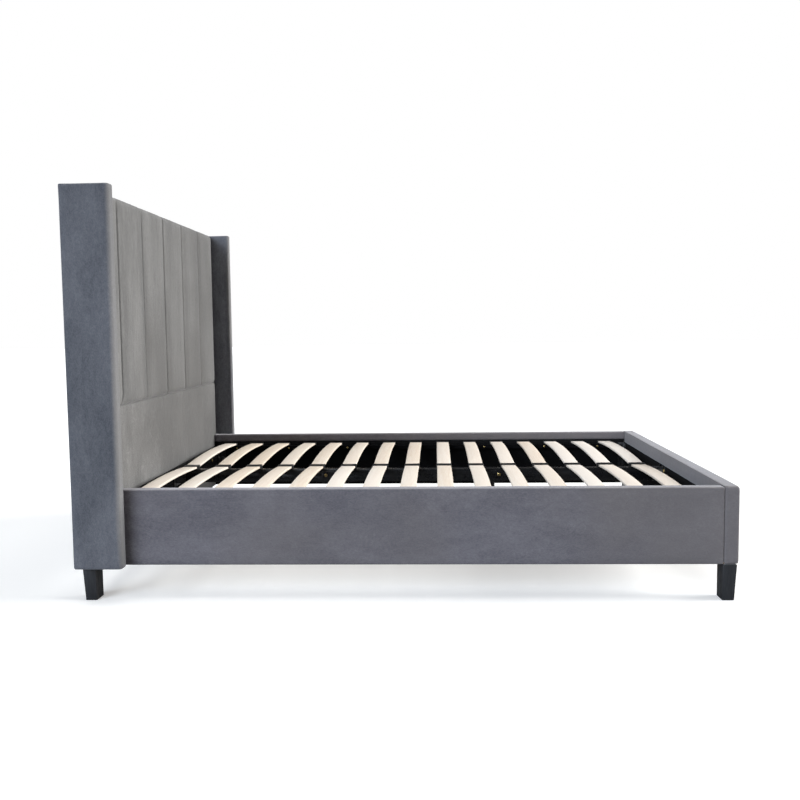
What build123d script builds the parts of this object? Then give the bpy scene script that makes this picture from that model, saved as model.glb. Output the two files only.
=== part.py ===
from build123d import *
import math
import os

# Upholstered bed with a winged, channelled headboard and a bowed slat base.
# Sizes are in millimetres. X runs across the bed, +Y towards the headboard, +Z up.
# The left side is at -X. The origin is on the floor under the middle of the bed.

# Sleeping space and main heights
clear_width = 1380.0
clear_length = 1911.0
underside = 113.0
rail_height = 236.0
headboard_height = 1281.0

# Clearances and cuts
soft_gap = 0.3
pocket_gap = 0.3
bore_gap = 0.25
turning_gap = 0.05
butt_gap = 1.0
overrun = 5.0

# Velvet, lining and padding on the rails
velvet_lip = 2.5
velvet_hem = 1.5
hem_width = 20.0
lining_thickness = 1.5
rail_pad = 9.5
rail_top_pad = 7.0
rail_edge_radius = 8.0
lip_edge_radius = 2.0

# Side rails
rail_board_thickness = 30.0
side_lip_depth = 31.0

# Foot rail
foot_board_thickness = 35.0
foot_lip_depth = 45.0
foot_end_pad = 6.0

# Headboard panel, from front to back
lower_pad_thickness = 20.0
seam_thickness = 8.0
valley_thickness = 16.5
channel_crown = 6.0
face_board_thickness = 9.0
frame_depth = 44.0
back_cover_thickness = 2.0
top_pad = 8.0

# Headboard layout
seam_height = 595.0
channel_count = 6
channel_fade_height = 38.0
top_edge_radius = 16.0
lower_pad_roll = 32.0
lower_pad_side_roll = 24.0
stile_width = 60.0
frame_rail_height = 60.0
batten_width = 50.0

# Wings
wing_gap = 12.0
wing_core_thickness = 31.0
wing_side_pad = 5.0
wing_front_pad = 8.0
wing_back_pad = 3.0
wing_top_pad = 6.0
wing_depth = 153.0
wing_edge_radius = 5.0

# Slats
slat_count = 15
slat_width = 54.0
slat_thickness = 8.0
slat_bow = 12.0
head_margin = 80.5
foot_margin = 96.0
slat_end_gap = 3.0

# Slat holders
holder_wall = 2.2
holder_side_wall = 2.5
holder_peg_radius = 3.5
holder_peg_length = 10.0
centre_holder_width = 40.0
centre_web = 6.0
side_holder_width = 17.0

# Depths below the top of the rails
ledge_drop = 50.0
beam_drop = 51.0
cross_rail_drop = 45.0
deck_rail_drop = 43.0
bracket_drop = 47.0
hanger_plate_drop = 48.0

# Side cleats and the cross rail at the head
cleat_width = 25.0
cleat_height = 20.0
cleat_end_gap = 3.0
cross_rail_thickness = 20.0
cross_rail_height = 110.0

# Centre beam
beam_width = 30.0
beam_height = 50.0
beam_wall = 2.0

# Steel brackets
plate_thickness = 3.0
bracket_leg = 30.0
bracket_height = 148.0
hanger_plate_width = 90.0
hanger_depth = 40.0
hanger_drop = 12.0
cheek_drop = 10.0

# Centre legs and their levelling feet
centre_leg_offset = 303.0
centre_leg_radius = 16.0
centre_leg_wall = 1.5
centre_leg_bottom = 34.0
saddle_length = 96.0
insert_flange = 4.0
insert_length = 25.0
stem_radius = 5.0
stem_top = 76.0
foot_pad_radius = 22.0
foot_pad_rim = 5.0
foot_pad_height = 11.0
foot_neck_radius = 11.0
foot_collar_height = 6.0
foot_collar_radius = 9.5

# Corner legs
leg_top_x = 58.0
leg_top_y = 43.0
leg_bottom_x = 56.0
leg_bottom_y = 36.0
leg_edge_chamfer = 1.5
leg_side_inset = 2.0
leg_back_inset = 6.0
leg_foot_inset = 5.0
leg_plate_thickness = 2.5
leg_plate_margin = 3.0
stud_radius = 4.0
stud_length = 42.0

# Bolts and screws, drawn six-sided
fastener_sides = 6
bolt_radius = 4.0
bolt_head_radius = 6.5
bolt_head_height = 4.5
nut_height = 6.5
bolt_bite = 22.0
screw_radius = 2.2
screw_head_radius = 4.2
screw_head_height = 2.2
screw_length = 40.0
wing_bolt_radius = 3.0
wing_bolt_head_radius = 5.0
saddle_bolt_offset = 32.0
saddle_bolt_drop = 24.0
bracket_bolt_setback = 18.0
hanger_bolt_offset = 32.0
hanger_bolt_drop = 16.0

# Places given as shares
cleat_screw_shares = (2.56, 4.78, 6.75)
bracket_bolt_shares = (0.22, 0.6)
cross_bolt_shares = (0.42, 0.8)
lower_wing_bolt_shares = (0.4,)
upper_wing_bolt_shares = (0.15, 0.85)
fade_shares = ((0.0, 0.15), (0.25, 0.62), (0.6, 0.92), (1.0, 1.0))
roll_shares = ((0.0, 0.0), (0.2, 0.5), (0.55, 0.87), (1.0, 1.0))
cap_angle_shares = (0.4, 0.75, 1.0)

# Planes across the bed
lip_face = clear_width / 2
board_inner = lip_face + velvet_lip
board_outer = board_inner + rail_board_thickness
rail_outer = board_outer + rail_pad
lining_face = board_inner - lining_thickness
wing_inner = rail_outer + wing_gap
wing_outer = wing_inner + wing_core_thickness + 2 * wing_side_pad
cleat_inner = lining_face - cleat_width

# Planes along the bed
foot_thickness = velvet_lip + foot_board_thickness + rail_pad
panel_depth = lower_pad_thickness + face_board_thickness + frame_depth + back_cover_thickness
overall_length = foot_thickness + clear_length + panel_depth
back_plane = overall_length / 2
foot_outer = -overall_length / 2
foot_inner = foot_outer + foot_thickness
foot_board_inner = foot_inner - velvet_lip
foot_lining_face = foot_board_inner + lining_thickness
frame_back = back_plane - back_cover_thickness
frame_front = frame_back - frame_depth
board_front = frame_front - face_board_thickness
pad_face = board_front - lower_pad_thickness
valley_face = board_front - valley_thickness
wing_front = back_plane - wing_depth
rail_head_end = pad_face - soft_gap
cross_rail_front = pad_face - cross_rail_thickness

# Heights
rail_top = underside + rail_height
rail_board_bottom = underside + velvet_hem
rail_board_top = rail_top - rail_top_pad
ledge_height = rail_top - ledge_drop
cleat_bottom = ledge_height - cleat_height
beam_top = rail_top - beam_drop
beam_bottom = beam_top - beam_height
cross_rail_top = rail_top - cross_rail_drop
bracket_top = rail_top - bracket_drop
bracket_bottom = bracket_top - bracket_height
hanger_plate_top = rail_top - hanger_plate_drop
deck_rail_top = rail_top - deck_rail_drop
seam_rail_bottom = seam_height - frame_rail_height / 2
seam_rail_top = seam_height + frame_rail_height / 2
frame_top = headboard_height - top_pad
top_rail_bottom = frame_top - frame_rail_height
wing_core_top = headboard_height - wing_top_pad

# Slat row
slat_pitch = (clear_length - head_margin - foot_margin) / (slat_count - 1)
first_slat = foot_inner + foot_margin
row_middle = first_slat + slat_pitch * (slat_count - 1) / 2
slat_places = [first_slat + slat_pitch * number for number in range(slat_count)]

# Bow of a slat: an arc between its two seats, higher in the middle by the bow
slat_near = centre_web / 2 + pocket_gap
slat_far = lip_face - slat_end_gap
seat_rise = holder_wall + pocket_gap + slat_thickness / 2
near_height = beam_top + seat_rise
far_height = ledge_height + seat_rise
chord = math.hypot(slat_far - slat_near, far_height - near_height)
bow_radius = (chord**2 / 4 + slat_bow**2) / (2 * slat_bow)
bow_centre_x = (slat_near + slat_far) / 2 + (far_height - near_height) / chord * (bow_radius - slat_bow)
bow_centre_z = (near_height + far_height) / 2 - (slat_far - slat_near) / chord * (bow_radius - slat_bow)

out_left = (-1, 0, 0)
out_right = (1, 0, 0)
to_head = (0, 1, 0)
to_foot = (0, -1, 0)


# Helpers

def block(x_low, x_high, y_low, y_high, z_low, z_high):
    body = Box(x_high - x_low, y_high - y_low, z_high - z_low, align=(Align.MIN,) * 3)
    return Pos(x_low, y_low, z_low) * body


def other_side(shape):
    return mirror(shape, about=Plane.YZ)


def both_sides(shape):
    return [shape, other_side(shape)]


def rod(radius, low, high):
    return Pos(0, 0, low) * Cylinder(radius, high - low, align=(Align.CENTER, Align.CENTER, Align.MIN))


def prism(radius, low, high):
    return Pos(0, 0, low) * extrude(RegularPolygon(radius, fastener_sides), amount=high - low)


def seated(shape, seat, out_direction):
    return Plane(origin=seat, z_dir=out_direction).location * shape


def bolts_at(seats, radius, length, head_radius, head_height):
    bolt = prism(radius, -length, 0) + prism(head_radius, 0, head_height)
    return [seated(bolt, seat, out_direction) for seat, out_direction in seats]


def paired_bolts(seats, radius, length, head_radius, head_height):
    left = bolts_at(seats, radius, length, head_radius, head_height)
    return left + [other_side(bolt) for bolt in left]


def drilled(shape, seats, radius, length):
    bore = prism(radius + bore_gap, -length - bore_gap, overrun)
    for seat, out_direction in seats:
        shape = shape - seated(bore, seat, out_direction)
    return shape


def save(name, *shapes):
    export_step(shapes[0] if len(shapes) == 1 else Compound(children=list(shapes)), f"parts/{name}.step")


# Seats of the bolts and screws: a point under the head and the way the head faces

def cleat_screw_seats():
    height = (cleat_bottom + ledge_height) / 2
    places = [row_middle + way * share * slat_pitch for share in cleat_screw_shares for way in (-1, 1)]
    return [((-cleat_inner, place, height), out_right) for place in places]


def bracket_heights():
    return [bracket_bottom + share * (bracket_top - bracket_bottom) for share in bracket_bolt_shares]


def rail_bracket_seats():
    x = -(lining_face - plate_thickness)
    places = (foot_lining_face + bracket_bolt_setback, cross_rail_front - bracket_bolt_setback)
    return [((x, place, height), out_right) for place in places for height in bracket_heights()]


def end_bracket_seats():
    x = -(lining_face - bracket_bolt_setback)
    foot = [((x, foot_lining_face + plate_thickness, height), to_head) for height in bracket_heights()]
    head = [((x, cross_rail_front - plate_thickness, height), to_foot) for height in bracket_heights()]
    return foot + head


def flipped_seats(seats):
    return [((-x, y, z), (-way[0], way[1], way[2])) for (x, y, z), way in seats]


def hanger_seats():
    height = hanger_plate_top - hanger_bolt_drop
    foot_y = foot_lining_face + plate_thickness
    head_y = cross_rail_front - plate_thickness
    foot = [((side * hanger_bolt_offset, foot_y, height), to_head) for side in (-1, 1)]
    head = [((side * hanger_bolt_offset, head_y, height), to_foot) for side in (-1, 1)]
    return foot + head


def saddle_seats():
    x = -(beam_width / 2 + pocket_gap + plate_thickness)
    legs = (row_middle - centre_leg_offset, row_middle + centre_leg_offset)
    places = [leg + way * saddle_bolt_offset for leg in legs for way in (-1, 1)]
    return [((x, place, beam_top - saddle_bolt_drop), out_left) for place in places]


def cross_bolt_seats():
    height = cross_rail_top - cross_rail_height / 2
    places = [side * share * lining_face for share in cross_bolt_shares for side in (-1, 1)]
    return [((x, cross_rail_front, height), to_foot) for x in places]


def wing_bolt_seats():
    # One bolt in the bay below the seam rail and two in the bay above it
    y = (frame_front + frame_back) / 2
    lower = [deck_rail_top + share * (seam_rail_bottom - deck_rail_top) for share in lower_wing_bolt_shares]
    upper = [seam_rail_top + share * (top_rail_bottom - seam_rail_top) for share in upper_wing_bolt_shares]
    return [((-(wing_inner - stile_width), y, height), out_right) for height in lower + upper]


rail_bolt_length = plate_thickness + lining_thickness + bolt_bite
foot_bolt_length = plate_thickness + lining_thickness + bolt_bite
cross_bolt_length = cross_rail_thickness + lower_pad_thickness + face_board_thickness + bolt_bite
head_bolt_length = plate_thickness + cross_rail_thickness - overrun
saddle_bolt_length = beam_width + 2 * (pocket_gap + plate_thickness) + nut_height
wing_bolt_length = stile_width + wing_side_pad + bolt_bite


# Headboard

def headboard_stile():
    stile = block(-wing_inner, -(wing_inner - stile_width), frame_front, frame_back, underside, frame_top)
    return drilled(stile, wing_bolt_seats(), wing_bolt_radius, wing_bolt_length)


def headboard_rail(low, high):
    half = wing_inner - stile_width
    return block(-half, half, frame_front, frame_back, low, high)


def headboard_top_rail():
    return headboard_rail(top_rail_bottom, frame_top)


def headboard_seam_rail():
    return headboard_rail(seam_rail_bottom, seam_rail_top)


def headboard_deck_rail():
    rail = headboard_rail(underside, deck_rail_top)
    return drilled(rail, cross_bolt_seats(), bolt_radius, cross_bolt_length)


def headboard_battens():
    half = batten_width / 2
    lower = block(-half, half, frame_front, frame_back, deck_rail_top, seam_rail_bottom)
    upper = block(-half, half, frame_front, frame_back, seam_rail_top, top_rail_bottom)
    return [lower, upper]


def headboard_face_board():
    board = block(-wing_inner, wing_inner, board_front, frame_front, underside, frame_top)
    return drilled(board, cross_bolt_seats(), bolt_radius, cross_bolt_length)


def headboard_back_cover():
    return block(-wing_inner, wing_inner, frame_back, back_plane, underside, frame_top)


def channel_section(height, rear, valley, crown):
    # One level of the pad: a flat rear edge and a row of arcs between the sewn valleys
    pitch = 2 * wing_inner / channel_count
    seams = [-wing_inner + pitch * number for number in range(channel_count + 1)]
    edges = [Line((seams[0], rear, height), (seams[0], valley, height))]
    for start, end in zip(seams, seams[1:]):
        middle = ((start + end) / 2, valley - crown, height)
        edges.append(ThreePointArc((start, valley, height), middle, (end, valley, height)))
    edges.append(Line((seams[-1], valley, height), (seams[-1], rear, height)))
    edges.append(Line((seams[-1], rear, height), (seams[0], rear, height)))
    return Face(Wire(edges))


def headboard_channel_pad():
    # The pad swells out of the cross seam, and its channels run up and roll over the top edge
    roll_start = headboard_height - top_edge_radius
    sections = []
    for share, fade in fade_shares:
        thickness = seam_thickness + fade * (valley_thickness - seam_thickness)
        sections.append(channel_section(seam_height + share * channel_fade_height, board_front,
                                        board_front - thickness, fade * channel_crown))
    sections.append(channel_section(roll_start, board_front, valley_face, channel_crown))
    cap_rise = top_edge_radius - top_pad
    cap_recess = top_edge_radius - math.sqrt(top_edge_radius**2 - cap_rise**2)
    cap_crown = channel_crown * (1 - cap_rise / top_edge_radius / 2)
    cap_valley = valley_face + cap_recess
    sections.append(channel_section(frame_top, board_front, cap_valley, cap_crown))
    front = loft(sections, ruled=True)
    levels = [channel_section(frame_top, back_plane, cap_valley, cap_crown)]
    for share in cap_angle_shares:
        rise = cap_rise + share * top_pad
        recess = top_edge_radius - math.sqrt(max(top_edge_radius**2 - rise**2, 0))
        crown = channel_crown * (1 - rise / top_edge_radius / 2)
        levels.append(channel_section(roll_start + rise, back_plane, valley_face + recess, crown))
    return front + loft(levels, ruled=True)


def lower_section(height, thickness):
    # One level of the plain pad: its face rolls back towards both wings
    side = board_front - min(seam_thickness, thickness)
    face = board_front - thickness
    inner = wing_inner - lower_pad_side_roll
    # The roll is an arc that leaves the flat face smoothly
    depth = side - face
    radius = (lower_pad_side_roll**2 + depth**2) / (2 * depth)
    half_turn = math.asin(lower_pad_side_roll / radius) / 2
    roll_x = inner + radius * math.sin(half_turn)
    roll_y = face + radius * (1 - math.cos(half_turn))
    edges = [
        Line((-wing_inner, board_front, height), (-wing_inner, side, height)),
        ThreePointArc((-wing_inner, side, height), (-roll_x, roll_y, height), (-inner, face, height)),
        Line((-inner, face, height), (inner, face, height)),
        ThreePointArc((inner, face, height), (roll_x, roll_y, height), (wing_inner, side, height)),
        Line((wing_inner, side, height), (wing_inner, board_front, height)),
        Line((wing_inner, board_front, height), (-wing_inner, board_front, height)),
    ]
    return Face(Wire(edges))


def headboard_lower_pad():
    # The plain pad below the cross seam, sewn down at the seam and flat where the rails butt
    swell = lower_pad_thickness - seam_thickness
    levels = [(underside, lower_pad_thickness)]
    for share, rise in reversed(roll_shares):
        thickness = seam_thickness + soft_gap + rise * (swell - soft_gap)
        levels.append((seam_height - share * lower_pad_roll, thickness))
    pad = loft([lower_section(height, thickness) for height, thickness in levels], ruled=True)
    return drilled(pad, cross_bolt_seats(), bolt_radius, cross_bolt_length)


# Wings

def wing_core_space():
    return block(-(wing_outer - wing_side_pad), -(wing_inner + wing_side_pad),
                 wing_front + wing_front_pad, back_plane - wing_back_pad, underside, wing_core_top)


def wing_core():
    return drilled(wing_core_space(), wing_bolt_seats(), wing_bolt_radius, wing_bolt_length)


def wing_cover():
    # Padded velvet sleeve round the wing core, rounded at its front and top
    sleeve = block(-wing_outer, -wing_inner, wing_front, back_plane, underside, headboard_height)
    front_edges = sleeve.edges().filter_by(Axis.Z).group_by(Axis.Y)[0]
    top_edges = sleeve.edges().group_by(Axis.Z)[-1]
    sleeve = fillet(front_edges + top_edges, radius=wing_edge_radius)
    sleeve = sleeve - wing_core_space()
    return drilled(sleeve, wing_bolt_seats(), wing_bolt_radius, wing_bolt_length)


# Side rails

def side_rail_board():
    board = block(-board_outer, -board_inner, foot_inner, rail_head_end, rail_board_bottom, rail_board_top)
    board = drilled(board, rail_bracket_seats(), bolt_radius, rail_bolt_length)
    return drilled(board, cleat_screw_seats(), screw_radius, screw_length)


def side_rail_cover():
    # Padded velvet over the outside and the top, with a lip inside and a hem below
    lip_low = rail_top - side_lip_depth
    outer_round = rail_edge_radius
    inner_round = lip_edge_radius
    corner = math.sqrt(0.5)
    edges = Polyline(
        (-(lip_face + inner_round), rail_top),
        (-(rail_outer - outer_round), rail_top),
    )
    edges += ThreePointArc(
        (-(rail_outer - outer_round), rail_top),
        (-(rail_outer - outer_round * (1 - corner)), rail_top - outer_round * (1 - corner)),
        (-rail_outer, rail_top - outer_round),
    )
    edges += Polyline(
        (-rail_outer, rail_top - outer_round),
        (-rail_outer, underside),
        (-(board_outer - hem_width), underside),
        (-(board_outer - hem_width), rail_board_bottom),
        (-board_outer, rail_board_bottom),
        (-board_outer, rail_board_top),
        (-board_inner, rail_board_top),
        (-board_inner, lip_low),
        (-lip_face, lip_low),
        (-lip_face, rail_top - inner_round),
    )
    edges += ThreePointArc(
        (-lip_face, rail_top - inner_round),
        (-(lip_face + inner_round * (1 - corner)), rail_top - inner_round * (1 - corner)),
        (-(lip_face + inner_round), rail_top),
    )
    profile = make_face(edges)
    length = rail_head_end - foot_inner
    across = Plane(origin=(0, rail_head_end, 0), x_dir=(1, 0, 0), z_dir=to_foot)
    return extrude(across * profile, amount=length)


def side_rail_lining():
    lining = block(-board_inner, -lining_face, foot_inner, rail_head_end,
                   rail_board_bottom, rail_top - side_lip_depth)
    lining = drilled(lining, rail_bracket_seats(), bolt_radius, rail_bolt_length)
    return drilled(lining, cleat_screw_seats(), screw_radius, screw_length)


def side_cleat():
    low = foot_lining_face + bracket_leg + cleat_end_gap
    high = cross_rail_front - bracket_leg - cleat_end_gap
    cleat = block(-lining_face, -cleat_inner, low, high, cleat_bottom, ledge_height)
    cleat = drilled(cleat, cleat_screw_seats(), screw_radius, screw_length)
    hole_low = ledge_height - holder_peg_length - bore_gap
    hole = prism(holder_peg_radius + bore_gap, hole_low, ledge_height + overrun)
    for place in slat_places:
        cleat = cleat - Pos(-side_peg_x, place, 0) * hole
    return cleat


# Foot rail

def foot_core_space():
    half = rail_outer - foot_end_pad
    return block(-half, half, foot_outer + rail_pad, foot_board_inner, rail_board_bottom, rail_board_top)


def foot_bolted(shape):
    seats = end_bracket_seats()
    shape = drilled(shape, seats, bolt_radius, foot_bolt_length)
    shape = drilled(shape, flipped_seats(seats), bolt_radius, foot_bolt_length)
    return drilled(shape, hanger_seats(), bolt_radius, foot_bolt_length)


def foot_rail_board():
    return foot_bolted(foot_core_space())


def foot_rail_cover():
    # Padded velvet over the outside, top and ends, with a lip inside and a hem below
    cover = block(-rail_outer, rail_outer, foot_outer, foot_inner, underside, rail_top)
    cover = fillet(cover.edges().group_by(Axis.Y)[0], radius=rail_edge_radius)
    inner_top = cover.edges().filter_by(Axis.X).group_by(Axis.Y)[-1].sort_by(Axis.Z)[-1]
    cover = fillet(inner_top, radius=lip_edge_radius)
    cover = cover - foot_core_space()
    hem_cut = block(-board_inner, board_inner, foot_outer + rail_pad + hem_width, foot_inner,
                    underside - overrun, rail_board_bottom)
    lip_cut = block(-lining_face, lining_face, foot_board_inner, foot_inner + overrun,
                    underside - overrun, rail_top - foot_lip_depth)
    return cover - hem_cut - lip_cut


def foot_rail_lining():
    lining = block(-lining_face, lining_face, foot_board_inner, foot_lining_face,
                   rail_board_bottom, rail_top - foot_lip_depth)
    return foot_bolted(lining)


# Cross rail at the head

def head_cross_rail():
    half = lining_face - butt_gap
    rail = block(-half, half, cross_rail_front, pad_face, cross_rail_top - cross_rail_height, cross_rail_top)
    seats = end_bracket_seats()
    rail = drilled(rail, seats, bolt_radius, head_bolt_length)
    rail = drilled(rail, flipped_seats(seats), bolt_radius, head_bolt_length)
    rail = drilled(rail, hanger_seats(), bolt_radius, head_bolt_length)
    return drilled(rail, cross_bolt_seats(), bolt_radius, cross_bolt_length)


# Steel brackets

def corner_bracket(face, way):
    # An angle on the rail's inner face and on the face of the end rail
    low, high = sorted((face, face + way * bracket_leg))
    leg_low, leg_high = sorted((face, face + way * plate_thickness))
    on_rail = block(-lining_face, -(lining_face - plate_thickness), low, high, bracket_bottom, bracket_top)
    on_end = block(-lining_face, -(lining_face - bracket_leg), leg_low, leg_high, bracket_bottom, bracket_top)
    angle = on_rail + on_end
    angle = drilled(angle, rail_bracket_seats(), bolt_radius, rail_bolt_length)
    return drilled(angle, end_bracket_seats(), bolt_radius, foot_bolt_length)


def corner_brackets():
    foot = corner_bracket(foot_lining_face, 1)
    head = corner_bracket(cross_rail_front, -1)
    return both_sides(foot) + both_sides(head)


def beam_hanger(face, way):
    # A back plate with a cradle that carries the end of the beam
    half = beam_width / 2 + pocket_gap
    plate_low, plate_high = sorted((face, face + way * plate_thickness))
    low, high = sorted((face, face + way * hanger_depth))
    floor_low = beam_bottom - plate_thickness
    cheek_top = beam_top - cheek_drop
    plate = block(-hanger_plate_width / 2, hanger_plate_width / 2, plate_low, plate_high,
                  floor_low - hanger_drop, hanger_plate_top)
    outer = block(-half - plate_thickness, half + plate_thickness, low, high, floor_low, cheek_top)
    channel_low, channel_high = sorted((face + way * plate_thickness, face + way * (hanger_depth + overrun)))
    channel = block(-half, half, channel_low, channel_high, beam_bottom, cheek_top + overrun)
    hanger = plate + (outer - channel)
    return drilled(hanger, hanger_seats(), bolt_radius, foot_bolt_length)


def beam_hangers():
    return [beam_hanger(foot_lining_face, 1), beam_hanger(cross_rail_front, -1)]


# Centre beam

def centre_beam():
    low = foot_lining_face + plate_thickness + butt_gap
    high = cross_rail_front - plate_thickness - butt_gap
    half = beam_width / 2
    tube = block(-half, half, low, high, beam_bottom, beam_top)
    tube = tube - block(-half + beam_wall, half - beam_wall, low - overrun, high + overrun,
                        beam_bottom + beam_wall, beam_top - beam_wall)
    hole = prism(holder_peg_radius + bore_gap, beam_top - beam_wall - overrun, beam_top + overrun)
    for place in slat_places:
        tube = tube - Pos(0, place, 0) * hole
    return drilled(tube, saddle_seats(), bolt_radius, saddle_bolt_length)


# Centre legs and levelling feet

def centre_leg(place):
    # A steel tube under a saddle that straps the beam
    half = beam_width / 2 + pocket_gap
    low = place - saddle_length / 2
    high = place + saddle_length / 2
    floor_low = beam_bottom - plate_thickness
    cheek_top = beam_top - cheek_drop
    saddle = block(-half - plate_thickness, half + plate_thickness, low, high, floor_low, cheek_top)
    saddle = saddle - block(-half, half, low - overrun, high + overrun, beam_bottom, cheek_top + overrun)
    saddle = drilled(saddle, saddle_seats(), bolt_radius, saddle_bolt_length)
    tube = rod(centre_leg_radius, centre_leg_bottom, floor_low)
    tube = tube - rod(centre_leg_radius - centre_leg_wall, centre_leg_bottom - overrun, floor_low)
    return saddle + Pos(0, place, 0) * tube


def saddle_nut():
    # A nut on the far cheek, placed from the seat of its bolt's head
    low = -saddle_bolt_length
    high = low + nut_height
    nut = prism(bolt_head_radius, low, high)
    return nut - prism(bolt_radius + bore_gap, low - overrun, high + overrun)


def leg_insert(place):
    # The threaded plug in the foot of the tube, drawn with a plain bore
    plug_radius = centre_leg_radius - centre_leg_wall
    plug = rod(centre_leg_radius, centre_leg_bottom - insert_flange, centre_leg_bottom)
    plug = plug + rod(plug_radius, centre_leg_bottom, centre_leg_bottom + insert_length)
    bore = rod(stem_radius + turning_gap, centre_leg_bottom - insert_flange - overrun,
               centre_leg_bottom + insert_length + overrun)
    return Pos(0, place, 0) * (plug - bore)


def levelling_foot(place):
    # A round pad with a sloping back, a six-sided collar and its screw stem
    pad = Polyline(
        (0, 0),
        (foot_pad_radius, 0),
        (foot_pad_radius, foot_pad_rim),
        (foot_neck_radius, foot_pad_height),
        (0, foot_pad_height),
        (0, 0),
    )
    body = revolve(Plane.XZ * make_face(pad), axis=Axis.Z)
    collar_top = foot_pad_height + foot_collar_height
    collar = extrude(RegularPolygon(foot_collar_radius, fastener_sides), amount=foot_collar_height)
    body = body + Pos(0, 0, foot_pad_height) * collar
    body = body + rod(stem_radius, collar_top, stem_top)
    return Pos(0, place, 0) * body


# Corner legs

def leg_corner(is_head):
    # The outer corner of a leg's top, with the ways in which the leg lies from it
    x = -(rail_outer - leg_side_inset)
    if is_head:
        return x, back_plane - leg_back_inset, -1
    return x, foot_outer + leg_foot_inset, 1


def leg_centre(is_head):
    x, y, way = leg_corner(is_head)
    return x + leg_top_x / 2, y + way * leg_top_y / 2


def corner_leg(is_head):
    # Both outer faces lean in towards the floor and the two inner faces are upright
    x, y, way = leg_corner(is_head)
    top = underside - leg_plate_thickness
    inner_x = x + leg_top_x
    inner_y = y + way * leg_top_y
    upper = Rectangle(leg_top_x, leg_top_y)
    lower = Rectangle(leg_bottom_x, leg_bottom_y)
    upper_face = Pos(inner_x - leg_top_x / 2, inner_y - way * leg_top_y / 2, top) * upper
    lower_face = Pos(inner_x - leg_bottom_x / 2, inner_y - way * leg_bottom_y / 2, 0) * lower
    leg = loft([lower_face, upper_face], ruled=True)
    sides = [edge for edge in leg.edges() if abs(edge.center().Z - top / 2) < top / 4]
    leg = chamfer(sides, length=leg_edge_chamfer)
    centre_x, centre_y = leg_centre(is_head)
    bore = prism(stud_radius + bore_gap, top - stud_length - bore_gap, top + overrun)
    return leg - Pos(centre_x, centre_y, 0) * bore


def leg_plate(is_head):
    x, y = leg_centre(is_head)
    half_x = leg_top_x / 2 - leg_plate_margin
    half_y = leg_top_y / 2 - leg_plate_margin
    plate = block(x - half_x, x + half_x, y - half_y, y + half_y, underside - leg_plate_thickness, underside)
    return plate - Pos(x, y, 0) * prism(stud_radius + bore_gap, underside - overrun, underside + overrun)


def leg_stud(is_head):
    x, y = leg_centre(is_head)
    top = underside - leg_plate_thickness
    return Pos(x, y, 0) * prism(stud_radius, top - stud_length, underside)


# Slats and their holders

def bow_height(offset, x):
    return bow_centre_z + math.sqrt((bow_radius + offset)**2 - (x - bow_centre_x)**2)


def bow_arc(offset, start, end):
    middle = (start + end) / 2
    points = [(x, bow_height(offset, x)) for x in (start, middle, end)]
    return ThreePointArc(*points)


def slat_strip(spread, start, end, width):
    # A length of the slat's bowed section, thickened all round by the spread
    reach = slat_thickness / 2 + spread
    lower = bow_arc(-reach, start, end)
    upper = bow_arc(reach, start, end)
    edges = lower + Line(lower @ 1, upper @ 1) + upper + Line(upper @ 0, lower @ 0)
    across = Plane(origin=(0, width / 2, 0), x_dir=(1, 0, 0), z_dir=to_foot)
    return extrude(across * make_face(edges), amount=width)


def holder_shell(foot_height, start, end):
    # The outside of a holder: flat below and bowed above like the slat it holds
    reach = slat_thickness / 2 + pocket_gap + holder_wall
    width = slat_width + 2 * (pocket_gap + holder_side_wall)
    upper = bow_arc(reach, start, end)
    edges = upper + Polyline(upper @ 1, (end, foot_height), (start, foot_height), upper @ 0)
    across = Plane(origin=(0, width / 2, 0), x_dir=(1, 0, 0), z_dir=to_foot)
    return extrude(across * make_face(edges), amount=width)


def pocket(start, end):
    return slat_strip(pocket_gap, start, end, slat_width + 2 * pocket_gap)


def slat():
    return slat_strip(0, slat_near, slat_far, slat_width)


def centre_holder():
    half = centre_holder_width / 2
    shell = holder_shell(beam_top, 0, half)
    shell = shell - pocket(centre_web / 2, half + overrun)
    peg = prism(holder_peg_radius, beam_top - holder_peg_length, beam_top)
    return shell + other_side(shell) + peg


side_holder_far = slat_far + pocket_gap + holder_wall - slat_end_gap / 2
side_peg_x = side_holder_far - side_holder_width / 2


def side_holder():
    near = side_holder_far - side_holder_width
    shell = holder_shell(ledge_height, near, side_holder_far)
    shell = shell - pocket(near - overrun, slat_far + pocket_gap)
    peg = Pos(side_peg_x, 0, 0) * prism(holder_peg_radius, ledge_height - holder_peg_length, ledge_height)
    return shell + peg


def row(piece):
    return [Pos(0, place, 0) * piece for place in slat_places]


def save_pair(name, shape):
    save(f"{name}_left", shape)
    save(f"{name}_right", other_side(shape))


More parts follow.
